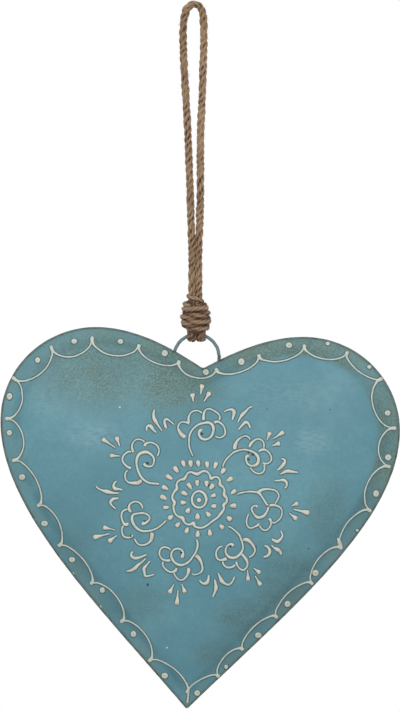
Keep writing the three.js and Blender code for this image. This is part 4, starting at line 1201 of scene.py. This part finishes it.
# Strokes of the scroll flowers, clockwise from the top flower: a scroll, then its petals
SCROLL_FLOWERS = (
    (
        (193, 456.5, 3.5), (191, 452.5, 4), (189, 447, 4), (188.5, 441, 4), (189, 435, 4.5),
        (191, 430.5, 4.5), (194, 427, 4.5), (198, 424, 5), (203, 422.5, 5.5), (208, 422, 7),
        (211.5, 424, 7.5), (213, 428, 7), (212.5, 432, 6), (211, 435.5, 5.5), (208, 438, 5.5),
        (204, 439, 5.5), (200.5, 437.5, 6), (198.5, 434, 6), (199, 430.5, 7.5), (202, 429, 9),
    ),
    (
        (185.5, 437, 11), (181.5, 434.5, 10), (178.5, 430, 7), (177.5, 426.5, 5), (179, 423, 4.5),
        (181, 421.5, 4), (184, 421.5, 4), (187.5, 422.5, 5.5), (188.5, 425, 4),
    ),
    (
        (188.5, 423.5, 7), (188, 418, 5.5), (189.5, 413.5, 4.5), (192, 411, 4), (196, 410, 4),
        (199.5, 411, 4), (202, 413, 4),
    ),
    (
        (203, 420.5, 8), (203, 415.5, 6.5), (204, 411, 5), (206.5, 408.5, 4), (210, 408.5, 4),
        (214, 410.5, 4), (218, 413.5, 4), (219.5, 417, 4), (218, 420.5, 5),
    ),
    (
        (213, 422.5, 7.5), (216.5, 421, 6), (220, 422.5, 4.5), (223, 425.5, 4.5), (224.5, 429.5, 4.5),
        (224.5, 433.5, 4), (221.5, 436.5, 4), (217.5, 437, 4), (214, 435, 4),
    ),
    (
        (222, 467.5, 3.5), (223, 464, 4), (225, 460, 4), (228.5, 456, 4), (233, 452, 4.5),
        (238, 450, 4.5), (243.5, 449, 4.5), (249, 450, 5), (253.5, 452, 6), (257, 455.5, 7),
        (258, 459.5, 7.5), (257, 463, 8), (254, 465, 6.5), (250, 465, 5), (247, 463, 5),
        (245.5, 459, 5), (246, 456, 6.5), (249, 455, 9.5),
    ),
    (
        (234, 449.5, 9), (234.5, 445.5, 10), (236, 441.5, 7.5), (239, 438, 5), (242.5, 436, 4),
        (245.5, 435.5, 4), (248.5, 437, 4), (250, 440, 4),
    ),
    (
        (248.5, 447, 6), (250.5, 443, 7), (253, 440.5, 5), (256.5, 438.5, 4), (260, 439, 4),
        (262.5, 441, 4), (263.5, 444, 4), (263, 448, 5),
    ),
    (
        (257.5, 451.5, 5), (260.5, 449.5, 6), (264, 449, 6), (267.5, 451, 4.5), (270, 454.5, 4.5),
        (271, 458, 4.5), (269.5, 461.5, 4), (266.5, 463, 4), (264, 463, 5), (262, 462, 6),
    ),
    (
        (263.5, 463.5, 5.5), (264, 467, 4.5), (263, 471, 4), (259.5, 473, 4), (255.5, 472.5, 4),
        (252, 470, 4), (249.5, 466.5, 4),
    ),
    (
        (235.5, 494, 3.5), (240, 492.5, 4), (245, 491.5, 4), (250, 491, 4.5), (255, 491.5, 5),
        (258, 492, 8), (260.5, 495, 5), (263.5, 499.5, 5), (266, 503.5, 5), (267.5, 505.5, 6),
        (267.5, 508.5, 5), (265.5, 512.5, 5.5), (263, 515.5, 7), (258.5, 517, 7.5), (255, 515.5, 6),
        (252.5, 512, 4.5), (251, 508.5, 4.5), (252.5, 506, 4.5), (255, 505, 5), (257.5, 506.5, 9.5),
    ),
    (
        (257.5, 492, 10), (261, 489.5, 7), (266, 488.5, 5), (271, 489, 4.5), (275, 490, 4),
        (278, 493.5, 4), (278, 497, 4), (276, 501, 4), (274, 503.5, 4),
    ),
    (
        (268.5, 505, 6), (272.5, 504.5, 6.5), (277, 505.5, 5), (280.5, 508, 4), (281.5, 512, 4),
        (280.5, 516.5, 4), (277.5, 520, 4), (274.5, 522, 4), (271, 522, 5),
    ),
    (
        (267.5, 517.5, 6), (270, 519.5, 7), (270.5, 523, 5), (269, 527, 4.5), (266, 529.5, 4),
        (263, 529.5, 4), (260.5, 527.5, 4), (259, 524.5, 5),
    ),
    (
        (258.5, 522.5, 6), (257.5, 524.5, 6), (254.5, 526, 4.5), (251, 527.5, 4), (248.5, 527, 4),
        (246.5, 524.5, 4), (246, 520.5, 4), (247, 516, 4), (248.5, 513, 3.5),
    ),
    (
        (227, 525.5, 3.5), (230.5, 527, 4), (235, 530.5, 4), (238.5, 534, 4.5), (240.5, 538.5, 5),
        (242, 543, 4.5), (242.5, 547.5, 4.5), (241, 551.5, 5.5), (238, 555, 6.5), (234.5, 557, 7),
        (230, 557, 7), (226.5, 554.5, 6), (225, 551, 5), (225.5, 547.5, 4.5), (227.5, 544.5, 4.5),
        (231, 543.5, 6), (233.5, 546, 9.5),
    ),
    (
        (242, 539.5, 7), (246, 539, 9), (250, 541.5, 8), (253, 545.5, 6), (254.5, 549.5, 4.5),
        (253, 553.5, 4), (250, 556, 4), (247.5, 557, 4),
    ),
    (
        (241, 553, 6), (243.5, 556, 7), (246, 559.5, 7), (247, 563.5, 5), (246, 567, 4.5),
        (243, 569.5, 4.5), (240, 568.5, 4.5), (237.5, 566, 4.5), (236, 563, 6), (236, 560.5, 6),
    ),
    (
        (235, 563.5, 7), (232.5, 566, 5), (228.5, 567, 5), (225, 566, 4.5), (222.5, 563, 4.5),
        (222.5, 560.5, 4.5),
    ),
    (
        (227, 557.5, 9.5), (223.5, 559, 7.5), (219.5, 559.5, 5), (216.5, 557.5, 4.5),
        (215.5, 553, 4.5), (216.5, 549.5, 4.5), (219, 546.5, 4.5), (222.5, 545.5, 4),
    ),
    (
        (196, 538.5, 5), (197, 542, 5), (197, 546, 5), (196, 549.5, 5), (194.5, 553, 5),
        (192, 556.5, 4.5), (189.5, 560, 5), (185.5, 563, 5.5), (181, 564.5, 6), (176.5, 563.5, 6),
        (173, 560.5, 6), (171, 556.5, 6), (171, 552.5, 5), (173, 549.5, 4.5), (176.5, 548, 4.5),
        (180.5, 549, 5), (182.5, 552, 6), (182, 555.5, 9), (180.5, 557.5, 8),
    ),
    (
        (194.5, 554.5, 9), (197.5, 556.5, 9.5), (200, 560, 7), (201.5, 564.5, 5.5), (202, 568.5, 5),
        (200.5, 571.5, 4.5), (197, 573.5, 4), (193.5, 574, 4), (191, 573, 4),
    ),
    (
        (188, 567, 8), (188, 571, 8.5), (186.5, 575, 6), (183.5, 578.5, 4.5), (180, 579.5, 4.5),
        (177, 578, 4), (174.5, 575, 4), (173.5, 572, 5),
    ),
    (
        (176.5, 566.5, 5.5), (175, 570, 7), (171.5, 571.5, 5), (167.5, 570.5, 4.5), (164, 567.5, 4.5),
        (162, 564, 4.5), (163, 560.5, 4),
    ),
    (
        (170.5, 559.5, 6), (167, 560, 6), (162.5, 559, 5), (159.5, 555.5, 4.5), (159, 551.5, 4.5),
        (160.5, 548, 4.5), (164, 546.5, 4.5), (168, 547.5, 4), (170.5, 549.5, 4),
    ),
    (
        (166, 519.5, 4), (162, 523.5, 4), (157.5, 527, 4), (152, 529.5, 4.5), (147, 530.5, 5),
        (142, 530.5, 5.5), (137.5, 528.5, 6), (134, 525, 6.5), (132, 521, 7), (131.5, 517, 6.5),
        (133, 514, 5), (137, 513, 5), (142, 512.5, 5), (146, 513.5, 4.5), (149, 516, 4.5),
        (148.5, 519.5, 5), (145.5, 522, 6.5), (142.5, 523, 9.5), (140.5, 522.5, 8.5),
    ),
    (
        (151, 531.5, 8), (151.5, 535, 9.5), (150.5, 539.5, 7.5), (147, 543, 5), (142.5, 544.5, 4.5),
        (138.5, 544, 4), (135.5, 541, 4), (134, 537.5, 4.5),
    ),
    (
        (132.5, 534, 7), (130.5, 536.5, 5), (126.5, 537, 4.5), (123, 535.5, 4.5), (121.5, 531.5, 4.5),
        (121.5, 527.5, 4.5), (123.5, 525, 5),
    ),
    (
        (128.5, 523, 7.5), (124.5, 524, 7.5), (122, 520.5, 5), (121, 516, 4.5), (121.5, 512, 4.5),
        (124, 509.5, 4.5), (127.5, 508.5, 5),
    ),
    (
        (131, 512, 7), (128.5, 508.5, 7), (129, 504.5, 5), (131.5, 502, 4.5), (135.5, 501, 4.5),
        (139.5, 502.5, 4.5), (141.5, 505.5, 4.5), (142.5, 509, 4),
    ),
    (
        (159.5, 483.5, 5), (154.5, 483, 5), (149.5, 482.5, 5), (145, 480.5, 5), (141.5, 477.5, 6),
        (139, 473.5, 5.5), (137, 468.5, 5), (136, 463, 5.5), (136.5, 458, 7), (138.5, 454, 7.5),
        (142, 452, 8), (146, 451.5, 7.5), (150, 453.5, 6), (153, 457, 5), (153.5, 461, 4.5),
        (152, 465, 4.5), (148.5, 466, 5), (145, 465, 6), (143, 462, 9.5),
    ),
    (
        (141.5, 479, 8), (138, 482, 9.5), (133.5, 482.5, 8), (128.5, 482, 5), (125.5, 479.5, 4.5),
        (124.5, 475.5, 4.5), (125.5, 471.5, 4), (127.5, 469.5, 4),
    ),
    (
        (131.5, 468, 7), (127.5, 466.5, 6), (124, 463.5, 5), (122, 460, 4.5), (122.5, 456, 4.5),
        (125, 453, 4.5), (128.5, 451, 4.5), (131.5, 451.5, 5),
    ),
    (
        (133.5, 452.5, 7), (132, 449.5, 6.5), (131.5, 445.5, 4.5), (133, 441.5, 4), (136, 439, 4),
        (140, 439, 4), (143, 440.5, 4), (144.5, 442.5, 5),
    ),
    (
        (144, 446.5, 9), (145, 443.5, 6.5), (148.5, 442, 4.5), (152.5, 442.5, 4), (156.5, 445, 4),
        (158.5, 449, 4), (158, 453, 4), (156.5, 456, 4.5),
    ),
)

# Three leaves of each sprig, clockwise from the one right of the top flower
LEAF_SPRIGS = (
    (
        (223, 411.5, 3.5), (227, 409.5, 4), (231.5, 409, 6), (233.5, 411.5, 9.5), (233, 415, 7),
        (231.5, 420, 4),
    ),
    (
        (237, 422.5, 3.5), (239.5, 417.5, 5), (242, 414, 9), (245.5, 410.5, 6), (249, 407, 4.5),
        (252.5, 406, 4),
    ),
    (
        (237.5, 429.5, 4), (241, 425.5, 5.5), (244.5, 422, 8.5), (247, 422, 6), (249, 425.5, 4.5),
        (250, 428.5, 3.5),
    ),
    (
        (280, 458, 3.5), (283.5, 459, 5), (284.5, 461, 6.5), (282, 465, 9), (279, 468, 6),
        (276.5, 470, 4),
    ),
    (
        (279, 474, 3.5), (282, 472.5, 5), (286.5, 470.5, 9), (291, 471, 7), (295, 471.5, 5),
        (298.5, 472, 3.5),
    ),
    (
        (273.5, 480, 4), (278, 480, 4.5), (283, 479.5, 7.5), (286, 482, 6), (286, 485.5, 5),
        (283.5, 488.5, 4),
    ),
    (
        (270.5, 538, 4), (274, 540, 7), (277, 541, 8), (280, 538.5, 6.5), (282, 535, 5),
        (280, 529.5, 3.5),
    ),
    ((270.5, 544, 3.5), (273.5, 547, 5), (277, 549, 10), (279.5, 551, 8), (281, 554.5, 6)),
    (
        (263, 545, 4.5), (266.5, 546, 5.5), (269, 549, 7.5), (269, 552.5, 7.5), (266.5, 555.5, 5.5),
        (262, 556.5, 4.5),
    ),
    (
        (217, 571.5, 3.5), (219, 575.5, 5), (221, 580, 9.5), (224.5, 583, 6), (228.5, 584, 5),
        (231.5, 581.5, 4.5), (233.5, 577.5, 4), (234, 575.5, 3.5),
    ),
    ((214, 578, 3.5), (215, 583, 6), (215.5, 587, 9.5), (214.5, 591, 6), (212, 597, 4)),
    (
        (208, 574, 4), (208, 578, 6), (206.5, 582, 9), (203, 583, 6), (200, 581, 4.5),
        (199, 579, 4),
    ),
    (
        (133.5, 550.5, 4), (131, 552.5, 5), (131, 555.5, 6.5), (134, 557.5, 7), (138.5, 557, 6.5),
        (142.5, 555.5, 5), (147, 553.5, 4),
    ),
    (
        (125.5, 570.5, 4), (130, 570, 6), (134.5, 567.5, 9), (137.5, 564.5, 7.5), (141.5, 561.5, 4.5),
        (145.5, 557.5, 3.5),
    ),
    (
        (150, 560, 3.5), (146.5, 564, 4.5), (143.5, 568, 8), (144, 572, 6), (145, 575.5, 5.5),
        (149.5, 575, 4), (154.5, 573.5, 3.5),
    ),
    (
        (116.5, 480, 4), (114, 482.5, 5), (113, 485.5, 6), (114.5, 488, 8.5), (118.5, 488.5, 5),
        (123, 489.5, 4),
    ),
    (
        (95, 485, 3.5), (98, 488, 4), (102.5, 490, 5.5), (106.5, 491, 10.5), (110.5, 492, 7.5),
        (114.5, 492.5, 4.5), (119, 492.5, 4),
    ),
    (
        (119, 497.5, 5), (115.5, 498, 5), (112.5, 498.5, 8), (110, 501.5, 7), (111, 504.5, 4.5),
        (116, 509, 4),
    ),
    (
        (146.5, 431, 3.5), (146, 427.5, 5), (148, 425, 6), (150.5, 426, 9.5), (153, 429.5, 5.5),
        (156.5, 432.5, 4),
    ),
    (
        (154, 408.5, 5), (153, 413.5, 6), (153.5, 417.5, 8.5), (155, 420.5, 9), (157.5, 424.5, 5),
        (162, 431, 4),
    ),
    (
        (166, 428.5, 6.5), (164.5, 424, 7), (164, 420, 6), (166, 418.5, 5.5), (169.5, 420.5, 4),
        (174, 424.5, 3.5),
    ),
)

# Drops of the sprays outside the flowers: head and tail
SPRAY_DROPS = (
    (201.5, 385.5, 200, 394.5), (192, 394.5, 193, 402), (208.5, 393, 203, 401.5),
    (282, 432, 271.5, 439), (269, 433, 266, 440.5), (278, 443, 271, 445.5),
    (307, 512, 292, 508.5), (296, 503, 290, 506), (295, 517.5, 288, 512),
    (247.5, 578.5, 247, 568.5), (258.5, 571.5, 252.5, 567), (259.5, 583.5, 254, 574.5),
    (176.5, 602.5, 177.5, 589), (169.5, 591, 174, 582.5), (184, 590.5, 181, 583),
    (94.5, 536.5, 109.5, 533), (104, 527, 115.5, 529.5), (109.5, 540, 117, 534.5),
    (103, 439, 115.5, 447.5), (116.5, 438, 119.5, 446.5), (111, 455, 120, 455.5),
)
SPRAY_SIZE = 1.1

# Rosette: the wavy ring, its middle, and an outer and an inner ring of drops
WAVY_RING = (
    (184, 478.5, 9), (185.5, 475.5, 5.5), (187.5, 472.5, 5), (190.5, 471.5, 5), (193, 472.5, 6),
    (197, 473.5, 8.5), (200.5, 471.5, 6), (204, 470.5, 6), (207.5, 472, 5), (209.5, 475, 5.5),
    (210.5, 478, 8), (214, 476.5, 5), (217.5, 477, 5), (219.5, 480, 5), (219.5, 484, 8),
    (222.5, 486.5, 5.5), (224, 490, 5), (223.5, 494, 8), (226, 497.5, 6), (226, 501.5, 6),
    (223, 504.5, 8), (223.5, 508, 5), (221.5, 511.5, 7), (219.5, 514, 7), (216.5, 517.5, 5),
    (212, 520.5, 5), (207, 524.5, 5), (202, 527, 5), (197.5, 527, 5), (194, 525.5, 6),
    (193, 522.5, 9), (189.5, 524, 5), (186, 523.5, 5), (183.5, 521, 5.5), (182, 517.5, 9),
    (178, 516, 5), (175, 513.5, 5), (173.5, 510, 5), (173, 506, 5.5), (174, 502, 8.5),
    (172, 498.5, 5.5), (172, 495, 5.5), (174, 491, 5.5), (176.5, 488, 8.5), (176, 484, 5),
    (177.5, 481, 5), (180.5, 479, 5.5), (183.5, 478.5, 8), (185, 476.5, 6),
)
CENTRE_RING = (
    (199, 490.5, 7), (203, 492.5, 7), (205.5, 497, 7), (205.5, 501, 6), (203.5, 505, 5.5),
    (199.5, 507, 5), (195, 506, 5.5), (192, 502.5, 6), (191.5, 497.5, 6), (193.5, 493, 5),
    (196.5, 491, 5), (199, 490.5, 6), (201, 491.2, 6),
)
CENTRE_DAB = (198.5, 499.5)
CENTRE_DAB_RADIUS = 1.1
ROSETTE_DROPS = (
    (182.5, 461.5, 184, 466.5), (190, 461.5, 190.5, 467), (197.5, 461.5, 198.5, 466.5),
    (206.5, 462.5, 207, 467.5), (215.5, 463, 213.5, 468.5), (223.5, 469, 220.5, 473.5),
    (230.5, 478, 226, 480.5), (234, 490.5, 230, 493.5), (234, 505, 229, 505.5),
    (229.5, 518.5, 226, 516), (222, 527, 219, 524), (209.5, 533.5, 209, 528), (197, 535, 197.5, 529.5),
    (186, 531, 187.5, 526.5), (176.5, 525, 179.5, 521.5), (169, 517.5, 173, 514.5),
    (164, 507, 169, 506.5), (161.5, 496, 166.5, 499), (163, 486.5, 168, 489), (167, 475.5, 172.5, 479),
    (174.5, 467.5, 178, 472.5), (196.5, 481, 197, 486), (206, 481.5, 206, 486.5), (212, 485, 209, 489),
    (214, 494.5, 210, 496), (214.5, 505.5, 210, 505.5), (208.5, 514.5, 205.5, 511),
    (197, 517, 197, 512.5), (187, 511, 189, 507), (181.5, 502, 186, 502), (182.5, 492, 187.5, 494.5),
    (188, 484, 191.5, 489),
)
ROSETTE_SIZE = 1.05

# Border, from the cleft to the tip: cusp's distance and inset, depth of the scallop after it, and
# the distance and inset of its dot
BORDER = {
    1: (
        (5.5, 4, 4.5, 19, 4.5), (28.5, 6, 4.5, 45.5, 3), (53.5, 5, 4.5, 66, 1), (77, 3, 3.5, 91, 1),
        (99.5, 1.5, 7.5, 118, 4.5), (126.5, 3, 6.5, 142.5, 3.5), (147, 3, 6.5, 162.5, 2.5),
        (171.5, 2, 5, 183.5, 0.7), (195.5, 3, 5.2, 213.5, 3.2), (218.5, 2, 4.5, 234.5, 2.5),
        (243, 3, 4, 256, 1.5), (266.5, 3, 4, 278.5, 1), (284.5, 1.5, 2.5, 298, 1.5),
    ),
    -1: (
        (12, 4, 4.5, 20.5, 2.5), (34.5, 5.5, 6.5, 44.5, 5), (60.5, 6, 6.5, 70.5, 5),
        (84, 4.5, 6.5, 94, 4.5), (110, 1.5, 6, 119.5, 2), (131.5, 3.5, 6.5, 139, 3.5),
        (154, 4, 5, 163.5, 4), (180.5, 6.5, 5, 190, 3), (203.5, 4, 4.5, 213, 4),
        (228.5, 5.5, 5.5, 234.5, 6.5), (253, 5, 5.5, 261.5, 4), (277, 2.5, 4.5, 287.5, 2),
    ),
}
TIP_CUSP = Vector((0.2, -95.7))
TIP_STROKE = ((188, 689, 5), (187.8, 694, 4), (187.2, 699, 5), (186.8, 703, 6))
CUSP_STROKE = ((337.2, 536.5, 5), (338.2, 540, 9), (339.6, 544, 10), (341.4, 547.5, 7))
CLEFT_DEPTH = 5.7
CLEFT_DOT = Vector((1.5, 64))
DOT_RADIUS = 1.45

# Share of the way along a scallop, how far the blob at its start stands out, and half width
SCALLOP_SHAPE = (
    (0, 1.5, 0.7), (0.005, 0.6, 0.9), (0.02, 0, 0.7), (0.07, 0, 0.46), (0.15, 0, 0.38),
    (0.3, 0, 0.34), (0.5, 0, 0.32), (0.7, 0, 0.32), (0.85, 0, 0.34), (0.94, 0, 0.36), (1, 0, 0.38),
)
SCALLOP_FULLNESS = 0.62


def scallop(start, end, depth):
    """An arc that hangs in from the rim between two cusps, with a blob where it starts."""
    along = end - start
    inward = Vector((along.y, -along.x)).normalized()
    points = []
    for share, outward, width in SCALLOP_SHAPE:
        sag = depth * max(0, 1 - (2 * share - 1) ** 2) ** SCALLOP_FULLNESS
        x, z = start + along * share + inward * (sag - outward + wobble(SCALLOP_WOBBLE))
        points.append((x, z, width))
    return stroke(points)


def border_scallops():
    """Scallops clockwise all round, one of them across the cleft."""
    runs = []
    for side, rows in BORDER.items():
        cusps = [on_rim(side, row[0], row[1]) for row in rows] + [TIP_CUSP]
        for start, end, row in zip(cusps, cusps[1:], rows):
            pair = (start, end) if side > 0 else (end, start)
            runs.append(scallop(*pair, row[2]))
    last, first = (on_rim(side, *BORDER[side][0][:2]) for side in (-1, 1))
    runs.append(scallop(last, first, CLEFT_DEPTH))
    runs += [drawn_stroke(points) for points in (TIP_STROKE, CUSP_STROKE)]
    return runs


def border_dots():
    """One dot in each scallop; those at the turn of the sheet are small."""
    dots = [dab(CLEFT_DOT, DOT_RADIUS)]
    for side, rows in BORDER.items():
        for _, _, _, distance, inset in rows:
            radius = min(DOT_RADIUS + wobble(DOT_WOBBLE), inset)
            dots.append(dab(on_rim(side, distance, inset + EDGE_INSET), radius))
    return dots


def drops(places, size, shape):
    return [drop(*place, size * (1 + wobble(DROP_WOBBLE)), shape) for place in places]


def rosette_drops():
    """The drops round the middle of the rosette, and the dab in it."""
    runs = drops(ROSETTE_DROPS, ROSETTE_SIZE, ROSETTE_SHAPE)
    runs.append(dab(from_photo(*CENTRE_DAB), CENTRE_DAB_RADIUS))
    return runs


# Camera, floor and light
def add_camera():
    data = bpy.data.cameras.new("camera")
    data.sensor_fit = "VERTICAL"
    data.sensor_height = SENSOR
    data.lens = SENSOR * CAMERA_DISTANCE / VIEW_HEIGHT
    camera = bpy.data.objects.new("camera", data)
    camera.location = Vector((VIEW_CENTRE[0], -CAMERA_DISTANCE, VIEW_CENTRE[1])) * MM
    camera.rotation_euler = (math.pi / 2, 0, 0)
    scene.collection.objects.link(camera)
    scene.camera = camera


def add_lamp(name, place, power):
    data = bpy.data.lights.new(name, "AREA")
    data.shape = "DISK"
    data.size = LAMP_SIZE
    data.energy = power
    lamp = bpy.data.objects.new(name, data)
    lamp.location = place
    lamp.rotation_euler = (Vector(LAMP_AIM) - Vector(place)).to_track_quat("-Z", "Y").to_euler()
    scene.collection.objects.link(lamp)


def add_world():
    """White to the camera and in reflections, and a plain level of light on the object."""
    world = bpy.data.worlds.new("studio")
    scene.world = world
    world.use_nodes = True
    tree = world.node_tree
    tree.nodes.clear()
    path = put(tree, "ShaderNodeLightPath").outputs
    seen = calculate(tree, "MAXIMUM", path["Is Camera Ray"], path["Is Glossy Ray"])
    seen = calculate(tree, "MAXIMUM", seen, path["Is Transmission Ray"])
    light = put(tree, "ShaderNodeBackground", {"Color": WHITE, "Strength": WORLD_LIGHT})
    white = put(tree, "ShaderNodeBackground", {"Color": WHITE, "Strength": 1.0})
    mix = put(tree, "ShaderNodeMixShader", {0: seen, 1: light.outputs[0], 2: white.outputs[0]})
    put(tree, "ShaderNodeOutputWorld", {"Surface": mix.outputs[0]})


def add_floor():
    bm = bmesh.new()
    bmesh.ops.create_grid(bm, x_segments=1, y_segments=1, size=FLOOR_HALF * MM)
    bmesh.ops.translate(bm, verts=bm.verts[:], vec=(0, 0, FLOOR_Z * MM))
    mesh = bpy.data.meshes.new("floor")
    bm.to_mesh(mesh)
    bm.free()
    material, tree, shader = new_material("pale_floor")
    place = put(tree, "ShaderNodeTexCoord").outputs["Object"]
    tint = blend_colour(tree, cloud(tree, place, 6.0), FLOOR_GREY, FLOOR_PALE)
    give(tree, shader, {"Base Color": tint, "Roughness": 0.8})
    mesh.materials.append(material)
    floor = bpy.data.objects.new("floor", mesh)
    scene.collection.objects.link(floor)


scene.view_settings.view_transform = "Standard"
add_camera()
for lamp in LAMPS:
    add_lamp(*lamp)
add_world()
add_floor()

blue_finish = blue_paint()
edge_finish = worn_edge("worn_edge", EDGE_GREY, 0.4)
wire_finish = worn_edge("worn_wire", WIRE_GREY, 0.32)
braze_finish = braze_metal()
cream_finish = cream_paint("cream_paint", PALE, PEACH)
border_finish = cream_paint("border_cream", BORDER_PALE, BORDER_CREAM)

# Hanging cord
cord_jute = jute("jute", 0.9 * CORD_RADIUS, 0.66 * CORD_RADIUS, least=0.15, painted_shade_and_tone=0, painted_highlight=0)
route = loop_route()
cord_runs = laid_cord(route, CORD_RADIUS, CORD_LAY, 1, (0, 1, 0))
cord_runs += fuzz(route, CORD_RADIUS, count=340, seed=5, highest=1.6)
cord = run_piece("hanging_cord", cord_runs, AS_IT_IS, None, cord_jute, ["hanging_loop"])
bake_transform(cord)

# Knot and eye
# The wraps take a little painted shade, partly their own darker tone, and a painted highlight on their
# crowns
wrap_jute = jute("jute_wraps", 2.84 * WRAP_RADIUS, 2.5 * WRAP_RADIUS, least=0.9, painted_shade_and_tone=0.08, painted_highlight=0.5)
wraps, inside = wrap_route()
wrap_runs = laid_cord(wraps, WRAP_RADIUS, WRAP_LAY, 2, (0, 0, 1), inside)
crossing = smooth_line(CROSSING_ROUTE, CROSSING_STEP)
behind = Vector((0, 3 * WRAP_RADIUS - CROSSING_RADIUS, 0))
inside = [point + behind for point in crossing]
wrap_runs += laid_cord(crossing, CROSSING_RADIUS, CORD_LAY, 8, (0, 0, 1), inside)
wrap_runs += fuzz(wraps, WRAP_RADIUS, count=90, seed=6, highest=1.2)
run_piece("knot_wraps", wrap_runs, AS_IT_IS, "knot", wrap_jute, ["knot_winding"])
leg_runs = []
for x, _ in (LOOP_ROUTE[0], LOOP_ROUTE[-1]):
    leg = smooth_line([(x, 0, KNOT_LEG_TOP), (x, 0, KNOT_LEG_FOOT)], CORD_STEP)
    leg_runs += laid_cord(leg, CORD_RADIUS, CORD_LAY, 3 + x, (0, 1, 0))
run_piece("knot_legs", leg_runs, AS_IT_IS, "knot", cord_jute, ["knot_core"])
# The eye takes more painted shade, partly its own darker tone, and a painted highlight on its crowns
eye_jute = jute("jute_eye", 0.92 * EYE_RADIUS, 0.68 * EYE_RADIUS, least=0.6, painted_shade_and_tone=0.3, painted_highlight=0.4)
eye = eye_route()
eye_runs = laid_cord(eye, EYE_RADIUS, EYE_LAY, 4, (1, 0, 0))
eye_runs += fuzz(eye, EYE_RADIUS, count=24, seed=7, highest=1.0)
run_piece("knot_eye_turn", eye_runs, eye_squeeze(), "eye", eye_jute, ["knot_eye"])

# Iron heart
add_piece("front_sheet", shell(-1), "heart", blue_finish, ["front_shell"])
add_piece("back_sheet", shell(1), "heart", blue_finish, ["back_shell"])
left_leg, right_leg = (rim_distance(x) for x in LEGS_X)
near_tip = RIM_RUN[-1] - TIP_GAP
round_tip = even_stops(1, right_leg, near_tip) + even_stops(-1, near_tip, left_leg)
across_cleft = even_stops(-1, left_leg, BEAD_RADIUS) + even_stops(1, BEAD_RADIUS, right_leg)
for name, run, finish, resolution, node in (
    ("seam_bead", bead_run(round_tip), edge_finish, 3, "seam_weld"),
    ("cleft_bead", bead_run(across_cleft), edge_finish, 3, "cleft_weld"),
    ("wire_arch", wire_run(), wire_finish, 4, "hanger_wire"),
):
    run_piece(name, [run], HEART_PLACE, "heart", finish, [node], resolution)
for name in ("wire_braze_left", "wire_braze_right"):
    frame["nodes"][name].data.materials.clear()
    frame["nodes"][name].data.materials.append(braze_finish)

# Painted ornament
rosette_rings = [drawn_stroke(points) for points in (WAVY_RING, CENTRE_RING)]
for name, strokes, finish in (
    ("border_scallops", border_scallops(), border_finish),
    ("border_dots", border_dots(), border_finish),
    ("rosette_lines", rosette_rings, cream_finish),
    ("rosette_drops", rosette_drops(), cream_finish),
    ("scroll_flowers", [drawn_stroke(points) for points in SCROLL_FLOWERS], cream_finish),
    ("drop_sprays", drops(SPRAY_DROPS, SPRAY_SIZE, SPRAY_SHAPE), cream_finish),
    ("leaf_sprigs", [drawn_stroke(points) for points in LEAF_SPRIGS], cream_finish),
):
    add_piece(name, painted(strokes), "heart", finish)
